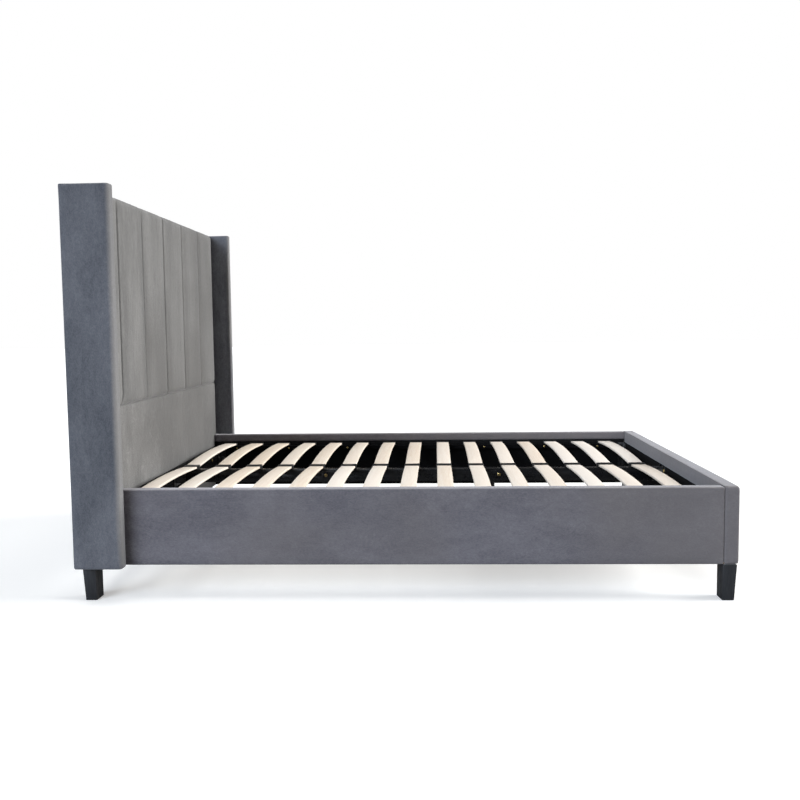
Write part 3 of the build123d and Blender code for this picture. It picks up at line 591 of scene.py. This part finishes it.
channelLook = {
    "channels": 6,
    "columns": (0, 0.0015, 0.003, 0.005, 0.008, 0.013, 0.020, 0.030, 0.044, 0.062, 0.083, 0.104, 0.124),
    "valley": 0.0165,       # how far the sewn lines stand in front of the board
    "seam": 0.0120,         # the same at the cross seam
    "crown": 0.0038,        # before the pad swells
    "fullness": 12,
    "fade": 0.016,          # height over which the pad rises out of the cross seam
    "fadeShape": 0.8,
    "rows": (0.005, 0.010, 0.018),      # close rows above that seam
    "sideRoll": 0.030,
    "sideFall": 0.0065,
    "sideReturn": 0.85,     # share of the way back to the board that the sides turn
    "topRadius": 0.016,
    "topCrown": 0.0016,
    "backRoll": 0.012,
    "seamRadius": 0.002, "backRadius": 0.0015, "backDrop": 0.006,
    "rowStep": 0.014,
    "swell": 0.0020,
    "fill": 0.8,
    # for each sewn line: its depth below and above, how far under the top it starts, and its reach
    "seamDepths": ((0, 0, 0, 0.005), (0.0112, 0.0108, 0.026, 0.0085), (0.0004, 0.0056, 0.034, 0.0056),
                   (0.0046, 0.0110, 0.006, 0.0075), (0.0050, 0.0066, 0.010, 0.0060),
                   (0.0008, 0.0016, 0.030, 0.0050), (0, 0, 0, 0.005)),
    # seam number, how far its foot runs sideways, over what height, and how wide a strip it drags
    "bend": (1, -0.020, 0.048, 0.06),
    "foldShape": 1.3,
    "foldStart": 0.02,      # height over which a fold deepens above the cross seam
    "pucker": 0.0004,
    "puckerReach": 0.012,
    "puckerStrip": (0.001, 0.05),
    "puckerRates": (7.3, 30, 45),       # from line to line, in depth and in height
}
seamGap = 0.0004    # left on each side of the cross seam
sewn = 0.0005       # a vertex this close to a sewn line is held by it
channelLow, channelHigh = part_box("headboard_channel_pad")
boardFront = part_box("headboard_face_board")[0].y
channelPitch = (channelHigh.x - channelLow.x) / channelLook["channels"]
seamPlaces = [channelLow.x + channelPitch * number for number in range(channelLook["channels"] + 1)]


def quarter(distance, radius):
    # The rise of a quarter circle's edge, from 0 at its foot to 1 where it meets the flat
    return math.sqrt(max(0.0, 1 - (1 - min(max(distance / radius, 0), 1)) ** 2))


def pathStations(corners, step, arcSteps=6):
    # Points and outward normals along a rounded path of (first, second, radius) corners in a plane
    points = []
    for index, (a, b, radius) in enumerate(corners):
        here = Vector((a, b))
        if radius == 0:
            points.append(here)
            continue
        before = (Vector(corners[index - 1][:2]) - here).normalized()
        after = (Vector(corners[index + 1][:2]) - here).normalized()
        half = before.angle(after) / 2
        reach = radius / math.tan(half)
        centre = here + (before + after).normalized() * (radius / math.sin(half))
        start, end = here + before * reach - centre, here + after * reach - centre
        turn = -start.angle_signed(end)
        points += [centre + Matrix.Rotation(turn * k / arcSteps, 2) @ start for k in range(arcSteps + 1)]
    filled = points[:1]
    for start, end in zip(points, points[1:]):
        count = max(1, round((end - start).length / step))
        filled += [start.lerp(end, k / count) for k in range(1, count + 1)]
    runs = [b - a for a, b in zip(filled[:1] + filled, filled[1:] + filled[-1:])]
    return filled, [Vector((-run.y, run.x)).normalized() for run in runs]


def channelPad():
    look = channelLook
    valley = boardFront - look["valley"]
    top = channelHigh.z - look["topCrown"]
    low = channelLow.z + seamGap
    path, normals = pathStations([
        (boardFront, low, 0),
        (valley, low, look["seamRadius"]),
        *((valley, low + row, 0) for row in look["rows"]),
        (valley, top, look["topRadius"]),
        (channelHigh.y, top, look["backRadius"]),
        (channelHigh.y, top - look["backDrop"], 0),
    ], look["rowStep"])
    ahead = list(look["columns"])
    offsets = ahead + [channelPitch - part for part in reversed(ahead[1:-1])]
    columns = [(seam + part, part / channelPitch) for seam in seamPlaces[:-1] for part in offsets]
    columns = [(channelLow.x, None), *columns, (seamPlaces[-1], 1.0), (channelHigh.x, None)]
    bm, numbered = gridMesh(len(columns), len(path))
    for v, column, row in numbered:
        x, share = columns[column]
        point, normal = path[row], normals[row]
        climb = min(max((point.y - low) / look["fade"], 0), 1)
        fade = math.sin(climb * math.pi / 2) ** look["fadeShape"]
        front = min(max((boardFront - point.x) / look["valley"], 0), 1)
        if share is None:   # the side turned back to the board
            point = point - normal * look["sideReturn"] * look["valley"]
            rise = 0.0
        else:
            over = min(max((point.y - (top - look["topRadius"])) / look["topRadius"], 0), 1)
            crown = look["crown"] * (1 - over) + look["topCrown"] * over
            backEdge = min(max((channelHigh.y - point.x) / look["backRoll"], 0), 1)
            rise = (1 - abs(2 * share - 1) ** look["fullness"]) * fade * crown * backEdge
            edge = quarter(min(x - channelLow.x, channelHigh.x - x), look["sideRoll"])
            rise -= (1 - edge) * look["sideFall"] * fade * backEdge * (1 - over)
        fall = (look["valley"] - look["seam"]) * (1 - fade) * front
        v.co = Vector((x, point.x + normal.x * rise + fall, point.y + normal.y * rise))

    addPad("channelPad", bm, "headboardVelvet", "headboard_velvet", "headboard_channel_pad", look,
           lambda co: min(abs(co.x - seam) for seam in seamPlaces) < sewn or co.z < low + touching
           or co.y > channelHigh.y - touching)


def sewChannels(piece):
    # Pulls the sewn lines in to a narrow fold, with small puckers beside them
    look = channelLook
    points, normals = pointsAndNormals(piece.data)
    seams = np.array(seamPlaces)
    away = np.abs(points[:, 0][:, None] - seams[None, :])
    nearest, seamNumber = away.min(1), away.argmin(1)
    below, above, fade, reach = np.array(look["seamDepths"])[seamNumber].T
    height = points[:, 2] - channelLow.z
    climb = np.clip(height / (channelHigh.z - channelLow.z), 0, 1)
    fold = np.clip(1 - nearest / reach, 0, 1) ** look["foldShape"] * (below + (above - below) * climb)
    fold *= np.clip(height / look["foldStart"], 0, 1)
    fold *= np.clip((channelHigh.z - points[:, 2]) / np.maximum(fade, 0.001) - 0.5, 0, 1)
    pucker = np.zeros(len(points))
    first, last = look["puckerStrip"]
    byLine, deep, up = look["puckerRates"]
    for index, point in enumerate(points):
        if first < nearest[index] < last:
            pull = math.exp(-nearest[index] / look["puckerReach"])
            wave = noise.noise(Vector((seamNumber[index] * byLine, point[1] * deep, point[2] * up)))
            pucker[index] = wave * pull * look["pucker"]
    moved = points - normals * fold[:, None] + normals * pucker[:, None]
    moved[:, 1] = np.minimum(moved[:, 1], channelHigh.y)
    number, sideways, bendHeight, drag = look["bend"]
    near = np.clip(1 - np.abs(points[:, 0] - seams[number]) / drag, 0, 1)
    under = np.clip(1 - height / bendHeight, 0, 1)
    moved[:, 0] += sideways * under ** 2 * near * near * (3 - 2 * near)
    writePoints(piece.data, moved)


# Headboard: plain lower pad

lowerLook = {"step": 0.012, "seam": 0.0115, "topRoll": 0.018, "sideRoll": 0.030, "swell": 0.0022,
             "shrink": 0.0012, "edge": 0.0005, "fill": 0.7, "heldTop": 0.004, "heldFoot": 0.01}
lowerLow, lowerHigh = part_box("headboard_lower_pad")


def spread(low, high, roll, step, fineRows=6):
    # Places from low to high, closer together where the pad rolls away at both ends
    fine = [roll * (1 - math.cos(math.pi / 2 * k / fineRows)) for k in range(fineRows + 1)]
    flat = high - low - 2 * roll
    count = round(flat / step)
    middle = [low + roll + flat * k / count for k in range(1, count)]
    return [low + part for part in fine] + middle + [high - part for part in reversed(fine)]


def lowerPad():
    look = lowerLook
    full = boardFront - lowerLow.y - look["shrink"]
    top = lowerHigh.z - seamGap
    columns = spread(lowerLow.x, lowerHigh.x, look["sideRoll"], look["step"])
    columns = [lowerLow.x, *columns, lowerHigh.x]
    heights = spread(lowerLow.z, top, look["topRoll"], look["step"]) + [top]
    bm, numbered = gridMesh(len(columns), len(heights))
    for v, column, row in numbered:
        x, height = columns[column], heights[row]
        side = quarter(min(x - lowerLow.x, lowerHigh.x - x), look["sideRoll"])
        over = quarter(top - height, look["topRoll"])
        thickness = look["seam"] + (full - look["seam"]) * side * over
        if column in (0, len(columns) - 1) or row == len(heights) - 1:
            thickness = look["edge"]
        v.co = Vector((x, boardFront - thickness, height))

    addPad("lowerPad", bm, "crushedVelvet", "headboard_velvet", "headboard_lower_pad", look,
           lambda co: co.z > lowerHigh.z - look["heldTop"] or co.z < lowerLow.z + look["heldFoot"])


# Wings

wingLook = {"step": 0.013, "frontRadius": 0.012, "innerRadius": 0.005, "topRadius": 0.004,
            "backRadius": 0.0045, "shrink": 0.0008, "under": 0.0006, "hem": 0.007, "swell": 0.0020,
            "fill": 0.75, "heldFoot": 0.004, "heldInside": 0.003}


def wingCover(side):
    look = wingLook
    node = "wing_cover_" + side
    low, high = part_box(node)
    inset = Vector((look["shrink"],) * 3)
    base = low + inset
    base.z = low.z - look["under"]
    bm = blockMesh(base, high - inset)
    front = [e for e in edgesAlong(bm, 2) if e.verts[0].co.y < (low.y + high.y) / 2]
    front.sort(key=lambda e: abs(e.verts[0].co.x))
    rounded(bm, front[1:], look["frontRadius"], 5)
    rounded(bm, front[:1], look["innerRadius"], 3)
    back = [e for e in edgesAlong(bm, 2) if min(v.co.y for v in e.verts) > high.y - touching]
    rounded(bm, back, look["backRadius"], 2)
    top = [e for e in bm.edges if min(v.co.z for v in e.verts) > high.z - touching]
    rounded(bm, top, look["topRadius"], 3)
    for axis in (2, 1, 0):
        cutInto(bm, axis, look["step"])
    underside = [f for f in bm.faces if f.calc_center_median().z < base.z + same]
    bmesh.ops.inset_region(bm, faces=underside, thickness=look["hem"], use_even_offset=True)
    bmesh.ops.delete(bm, geom=[f for f in underside if f.is_valid], context="FACES")
    inner = low.x if side == "right" else high.x

    addPad(camel(node), bm, "wingVelvet", "frame_velvet", node, look,
           lambda co: co.z < low.z + look["heldFoot"]
           or abs(co.x - inner) < look["heldInside"] and co.y > channelLow.y)


# Rails

railLook = {"step": 0.014, "edgeRadius": 0.0036, "lipRadius": 0.003, "endRadius": 0.003, "lip": 0.031,
            "hem": 0.020, "shrink": 0.0003, "crown": 0.0012, "footGap": -0.0004, "swell": 0.0020,
            "fill": 0.7}
footLook = {
    "step": 0.013, "edgeRadius": 0.006, "topEndRadius": 0.004, "lipRadius": 0.008, "endRadius": 0.008,
    "lip": 0.045, "hem": 0.022, "shrink": 0.0006, "railGap": 0.0014, "swell": 0.0020, "fill": 0.7,
    "open": 0.691,          # half the width left open at the back, between the side rails
    "crown": 0.0048, "crownHeight": 0.035, "crownDrop": 0.25, "crownShape": 10,
}
stapled = 0.001     # how far the cloth is held flat beside its stapled edges


def sideRailCover(side):
    look = railLook
    node = "side_rail_cover_" + side
    low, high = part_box(node)
    way = -1 if side == "left" else 1
    outerX, innerX = (low.x, high.x) if side == "left" else (high.x, low.x)
    base, peak = low.copy(), high.copy()
    (base if side == "left" else peak).x -= way * look["shrink"]
    peak.z += look["crown"]
    base.y += look["footGap"]
    bm = blockMesh(base, peak)

    def longEdges(x, z):
        return [e for e in edgesAlong(bm, 1)
                if all(abs(v.co.x - x) < touching and abs(v.co.z - z) < touching for v in e.verts)]

    rounded(bm, longEdges(outerX, peak.z), look["edgeRadius"], 4)
    rounded(bm, longEdges(innerX, peak.z), look["lipRadius"], 2)
    rounded(bm, longEdges(outerX, low.z), look["lipRadius"], 2)
    rounded(bm, edgesAcross(bm, 1), look["endRadius"], 3)
    hemX, lipZ = outerX - way * (padThickness + look["hem"]), high.z - look["lip"]
    splitAt(bm, 2, lipZ)
    splitAt(bm, 0, hemX)
    for axis in (1, 2, 0):
        cutInto(bm, axis, look["step"])
    cutAway(bm, lambda face, middle: abs(face.normal.y) > 0.99
            or (middle.x - hemX) * way < 0 and middle.z < lipZ)
    addPad(camel(node), bm, "frameVelvet", "frame_velvet", node, look,
           lambda co: abs(co.x - innerX) < stapled or co.z < low.z + stapled)


def footRailCover():
    look = footLook
    low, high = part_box("foot_rail_cover")
    base = low + Vector((look["shrink"], look["shrink"], 0))
    peak = high - Vector((look["shrink"], look["railGap"], look["shrink"]))
    bm = blockMesh(base, peak)
    outer = [e for e in bm.edges if max(v.co.y for v in e.verts) < low.y + touching]
    ends = [e for e in edgesAlong(bm, 1) if e.verts[0].co.z > low.z + touching]
    rounded(bm, outer, look["edgeRadius"], 4)
    rounded(bm, [e for e in ends if e.is_valid], look["topEndRadius"], 3)

    def innerEdges(axis):
        return [e for e in edgesAlong(bm, axis) if min(v.co.y for v in e.verts) > peak.y - same
                and e.calc_length() > 0.01 and max(v.co.z for v in e.verts) > low.z + touching]

    rounded(bm, innerEdges(2), look["endRadius"], 4)
    rounded(bm, innerEdges(0), look["lipRadius"], 3)
    hemY, lipZ = low.y + padThickness + look["hem"], high.z - look["lip"]
    for axis, level in ((2, lipZ), (1, hemY), (0, look["open"]), (0, -look["open"])):
        splitAt(bm, axis, level)
    for axis in (0, 2, 1):
        cutInto(bm, axis, look["step"])
    cutAway(bm, lambda face, middle: abs(middle.x) < look["open"] and middle.y > hemY and middle.z < lipZ)
    for v in bm.verts:   # the stuffing stands a little higher between the ends
        along = 1 - look["crownDrop"] * abs(v.co.x / high.x) ** look["crownShape"]
        v.co.z += look["crown"] * along * min(max(1 - (high.z - v.co.z) / look["crownHeight"], 0), 1)

    addPad("footRailCover", bm, "frameVelvet", "frame_velvet", "foot_rail_cover", look,
           lambda co: co.y > peak.y - stapled or co.z < low.z + stapled)


channelPad()
lowerPad()
for build in (wingCover, sideRailCover):
    for side in sides:
        build(side)
footRailCover()
print("stage: padded pieces shaped")
swellAll()
print("stage: padded pieces swollen")
for piece, _ in padPieces:
    smoother(piece)
sewChannels(bpy.data.objects["channelPad"])
for piece, _ in padPieces:
    thickened(piece, padWall)
print("stage: padded pieces finished")


# Slats

slatLook = {
    "near": (0.0033, 0.3045), "far": (0.687, 0.3055),   # the ends, across and up
    "width": 0.054, "thickness": 0.008, "bow": 0.012, "edgeRadius": 0.0020, "endRadius": 0.0008,
    "step": 0.026, "count": 15, "tintSeeds": {"left": 11, "right": 23},
}
slatFoot, slatHead = (corner.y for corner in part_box("slats_left"))
slatPitch = (slatHead - slatFoot - slatLook["width"]) / (slatLook["count"] - 1)
(nearX, nearZ), (farX, farZ), bow = slatLook["near"], slatLook["far"], slatLook["bow"]
chord = math.dist(slatLook["near"], slatLook["far"])
bowRadius = (chord ** 2 / 4 + bow ** 2) / (2 * bow)
bowFall = (bowRadius - bow) / chord
bowCentreX = (nearX + farX) / 2 + (farZ - nearZ) * bowFall
bowCentreZ = (nearZ + farZ) / 2 - (farX - nearX) * bowFall


def slatRow(side):
    look = slatLook
    half = look["thickness"] / 2
    one = blockMesh((nearX, -look["width"] / 2, -half), (farX, look["width"] / 2, half))
    rounded(one, edgesAlong(one, 0), look["edgeRadius"], 3)
    rounded(one, edgesAcross(one, 0), look["endRadius"], 1)
    cutInto(one, 0, look["step"])
    ply = one.verts.layers.float.new("ply")
    one.verts.layers.float.new("tint")
    for v in one.verts:
        v[ply] = v.co.z / half
        v.co.z = bowCentreZ + math.sqrt((bowRadius + v.co.z) ** 2 - (v.co.x - bowCentreX) ** 2)
    bm = bmesh.new()
    tints = random.Random(look["tintSeeds"][side])
    bm.verts.layers.float.new("ply")
    tint = bm.verts.layers.float.new("tint")
    for number in range(look["count"]):
        fresh = addShape(bm, one)
        shade = tints.random()
        for v in fresh:
            v[tint] = shade
        middle = slatFoot + look["width"] / 2 + slatPitch * number
        bmesh.ops.translate(bm, vec=(0, middle, 0), verts=fresh)
    if side == "left":
        bmesh.ops.scale(bm, vec=(-1, 1, 1), verts=bm.verts)
    bmesh.ops.recalc_face_normals(bm, faces=bm.faces)
    one.free()
    addPiece(camel("slats_" + side), bm, "birch", "birch_slats", "slats_" + side, sharpAngle=50)


for side in sides:
    slatRow(side)
print("stage: slats bent")


# Rigid pieces that keep their CAD form, with their edges eased

def mergedCopy(node):
    bm = bmesh.new()
    bm.from_mesh(nodes[node].data)
    bmesh.ops.remove_doubles(bm, verts=bm.verts, dist=same)
    return bm


def eased(node, finish, slotName, width, lowered=0.0, steps=2, flat=0.6, sharp=28):
    bm = mergedCopy(node)
    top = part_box(node)[1].z
    for v in bm.verts:
        if v.co.z > top - same:
            v.co.z -= lowered
    bmesh.ops.dissolve_limit(bm, angle_limit=math.radians(flat), use_dissolve_boundaries=False,
                             verts=bm.verts, edges=bm.edges, delimit=set())
    edges = [e for e in bm.edges if e.is_manifold and e.calc_face_angle(0) > math.radians(sharp)]
    rounded(bm, edges, width, steps)
    addPiece(camel(node) + "Eased", bm, finish, slotName, node)


plastic, steel = ("blackPlastic", "black_plastic"), ("blackSteel", "black_steel")
# the head cross rail and the side cleats take painted shade: a near-black darker and duller than their
# black wood
wood, inShade = ("blackWood", "black_wood"), ("mattBlack", "black_wood")
easedPieces = {
    # nodes: finish and slot, width of the eased edge, and how far the top is planed down
    "side_holders_left side_holders_right": (*plastic, 0.0007),
    "centre_slat_holders": (*plastic, 0.0008),
    "leg_head_left leg_head_right leg_foot_left leg_foot_right": (*wood, 0.0008),
    "centre_beam": (*steel, 0.0015),
    "beam_hangers corner_brackets": (*steel, 0.0005),
    "head_cross_rail": (*inShade, 0.001, 0.007),
    "leg_plates": ("zinc", "zinc_fixings", 0.0004),
    "centre_leg_head centre_leg_foot": (*steel, 0.0005),
    "side_cleat_left side_cleat_right": (*inShade, 0.001),
    "saddle_nuts": ("brass", "brass_fixings", 0.0005),
}
for names, details in easedPieces.items():
    for node in names.split():
        eased(node, *details)
print("stage: rigid pieces eased")


# Linings and back cover: stretched sheets

sheetLook = {"step": 0.024, "ripple": 0.0006, "alongRate": 5, "upRate": 11, "hem": 0.03, "wall": 0.0008}
lined = ("blackLining", "black_lining")
stretchedSheets = {
    # node: the direction it faces, finish and slot, and what it is stretched over
    "side_rail_lining_left": ((1, 0, 0), *lined, ["side_rail_board_left"]),
    "side_rail_lining_right": ((-1, 0, 0), *lined, ["side_rail_board_right"]),
    "foot_rail_lining": ((0, 1, 0), *lined, ["foot_rail_board"]),
    "headboard_back_cover": ((0, 1, 0), "wingVelvet", "back_cloth",
                             ["headboard_stile_left", "headboard_stile_right"]),
}


def stretchedSheet(node, facing, finish, slotName, over):
    # A grid on the face of the CAD sheet, with shallow ripples that die out at its stapled edges
    look = sheetLook
    low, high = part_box(node)
    axis = 0 if facing[0] else 1
    other = 1 - axis
    plane = high[axis] if facing[axis] > 0 else low[axis]
    width, length = high.z - low.z, high[other] - low[other]
    columns, rows = round(length / look["step"]) + 1, round(width / look["step"]) + 1
    bm, numbered = gridMesh(columns, rows)
    for v, column, row in numbered:
        along, up = column / (columns - 1) * length, row / (rows - 1) * width
        edge = min(along, length - along, up, width - up)
        wave = noise.noise(Vector((along * look["alongRate"], up * look["upRate"], plane * 7)))
        depth = look["ripple"] * (0.5 + 0.5 * wave) * min(edge / look["hem"], 1)
        v.co[other], v.co[axis], v.co.z = low[other] + along, plane - facing[axis] * depth, low.z + up
    bmesh.ops.recalc_face_normals(bm, faces=bm.faces)
    if sum(face.normal.dot(Vector(facing)) for face in bm.faces) < 0:
        bmesh.ops.reverse_faces(bm, faces=bm.faces)
    piece = addPiece(camel(node) + "Sheet", bm, finish, slotName, node, sharpAngle=80)
    thickened(piece, look["wall"])


for node, details in stretchedSheets.items():
    stretchedSheet(node, *details)
print("stage: sheets stretched")


# Bolts, screws and levelling feet

def turned(profile, steps=24):
    # Spins a profile of (radius, height) points round the Z axis into a closed solid
    bm = bmesh.new()
    verts = [bm.verts.new((radius, 0, height)) for radius, height in profile]
    edges = [bm.edges.new(pair) for pair in zip(verts, verts[1:])]
    bmesh.ops.spin(bm, geom=verts + edges, cent=(0, 0, 0), axis=(0, 0, 1), angle=2 * math.pi, steps=steps,
                   use_merge=True)
    bmesh.ops.remove_doubles(bm, verts=bm.verts, dist=same)
    bmesh.ops.recalc_face_normals(bm, faces=bm.faces)
    return bm


def reshaped(bm, recess, chosen):
    # Gives the chosen vertices a six-sided or crossed outline
    for v in bm.verts:
        if chosen(math.hypot(v.co.x, v.co.y), v.co.z):
            angle = math.degrees(math.atan2(v.co.y, v.co.x)) % 360
            if recess == "six":
                reach = math.cos(math.radians(30)) / math.cos(math.radians(angle % 60 - 30))
            else:
                reach = 1.0 if min(angle % 90, 90 - angle % 90) < 5 else 0.38
            v.co.x *= reach
            v.co.y *= reach


def fastener(look, length):
    # A domed head at z 0 and above, over a chamfered shank
    shank, head, height, socket, recess = look.values()
    depth = height * 0.62
    bm = turned([
        (0, -length), (shank * 0.8, -length), (shank, -length + shank * 0.3), (shank, 0),
        (head * 0.97, 0), (head, height * 0.12), (head, height * 0.5), (head * 0.93, height * 0.78),
        (head * 0.72, height * 0.96), (head * 0.6, height), (socket, height),
        (socket, height - depth), (0, height - depth)])
    reshaped(bm, recess, lambda radius, z: abs(radius - socket) < same and z > height - depth - same)
    return bm


def shellsOf(node):
    # The separate shells of a CAD node, each as an array of points
    bm = mergedCopy(node)
    seen, found = set(), []
    for start in bm.verts:
        if start in seen:
            continue
        seen.add(start)
        shell = [start]
        for v in shell:
            others = [e.other_vert(v) for e in v.link_edges]
            shell += [other for other in others if other not in seen]
            seen.update(others)
        found.append(np.array([v.co[:] for v in shell]))
    bm.free()
    return found


# radii of shank, head and recess, height of the head, and kind of recess
machineBolt = {"shank": 0.004, "head": 0.0065, "height": 0.0045, "socket": 0.0027, "recess": "six"}
woodScrew = {"shank": 0.0022, "head": 0.0042, "height": 0.0022, "socket": 0.0023, "recess": "cross"}
fastenerPieces = {
    # node: shape, finish and slot
    # the bracket and cross rail bolts take the darkened metals: painted shade under the slats
    "bracket_bolts": (machineBolt, "dullZinc", "zinc_fixings"),
    "hanger_bolts": (machineBolt, "brass", "brass_fixings"),
    "cross_rail_bolts": (machineBolt, "dullBrass", "brass_fixings"),
    "saddle_bolts": (machineBolt, "brass", "brass_fixings"),
    "cleat_screws": (woodScrew, "brass", "brass_fixings"),
}


def fasteners(node, look, finish, slotName):
    # One turned fastener in each shell of the CAD node, with its head at the wider end
    bm = bmesh.new()
    for shell in shellsOf(node):
        low, high = shell.min(0), shell.max(0)
        axis = int((high - low).argmax())
        middle = (low + high) / 2
        levels = sorted(set(np.round(shell[:, axis], 5)))
        ends = [shell[np.abs(shell[:, axis] - level) < 2e-5] for level in (levels[0], levels[-1])]
        spreads = [np.abs(np.delete(end - middle, axis, 1)).max() for end in ends]
        headIsLow = spreads[0] > spreads[1]
        seat, tail = levels[1], levels[-1] if headIsLow else levels[0]
        way = Vector((0, 0, 0))
        way[axis] = -1 if headIsLow else 1
        middle[axis] = seat
        one = fastener(look, abs(tail - seat))
        turn = way.to_track_quat("Z", "Y").to_matrix().to_4x4()
        one.transform(Matrix.Translation(middle) @ turn)
        addShape(bm, one)
        one.free()
    addPiece(camel(node) + "Turned", bm, finish, slotName, node, sharpAngle=35)


for node, details in fastenerPieces.items():
    fasteners(node, *details)
print("stage: fasteners turned")

levellerLook = {"pad": 0.022, "rim": 0.005, "neck": 0.011, "collar": 0.0095, "seat": 0.011,
                "crest": 0.017, "stem": 0.005, "threadDepth": 0.00045, "pitch": 0.00175, "top": 0.076}


def levellingFoot(end):
    # A round pad with a six-sided collar for a spanner, and a threaded stem up into the leg
    pad, rim, neck, collar, seat, crest, stem, threadDepth, pitch, top = levellerLook.values()
    node = "levelling_foot_" + end
    low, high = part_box(node)
    profile = [(0, 0), (pad - 0.0016, 0), (pad - 0.0004, 0.0006), (pad, 0.0018), (pad, rim - 0.0008),
               (pad - 0.0008, rim), (neck + 0.0008, seat - 0.0004), (neck - 0.0006, seat),
               (collar, seat + 0.0002), (collar, crest - 0.0008), (collar - 0.0010, crest), (stem, crest)]
    height = crest + 0.001
    while height < top - 0.002:
        profile += [(stem, height), (stem - threadDepth, height + pitch / 2)]
        height += pitch
    profile += [(stem - 0.0008, top), (0, top)]
    bm = turned(profile, 36)
    reshaped(bm, "six", lambda radius, z: radius > collar - 0.0014 and seat < z - 0.0001 < crest)
    middle = (low + high) / 2
    bmesh.ops.translate(bm, vec=(middle.x, middle.y, 0), verts=bm.verts)
    addPiece(camel(node) + "Turned", bm, *plastic, node, node, 35)


for end in ("head", "foot"):
    levellingFoot(end)
print("stage: levelling feet turned")


# CAD nodes that stay as they are

plainNodes = {
    "blackPlastic": "leg_insert_head leg_insert_foot",
    "zinc": "wing_bolts leg_studs",
    "pineAcross": "foot_rail_board headboard_deck_rail headboard_seam_rail headboard_top_rail",
    "pineAlong": "side_rail_board_left side_rail_board_right",
}
named = {node: finish for finish, names in plainNodes.items() for node in names.split()}
for name, node in nodes.items():
    if not node.hide_render:
        node.data.materials.clear()
        node.data.materials.append(finishes[named.get(name, "pineUp")])
print("stage: remaining nodes finished")
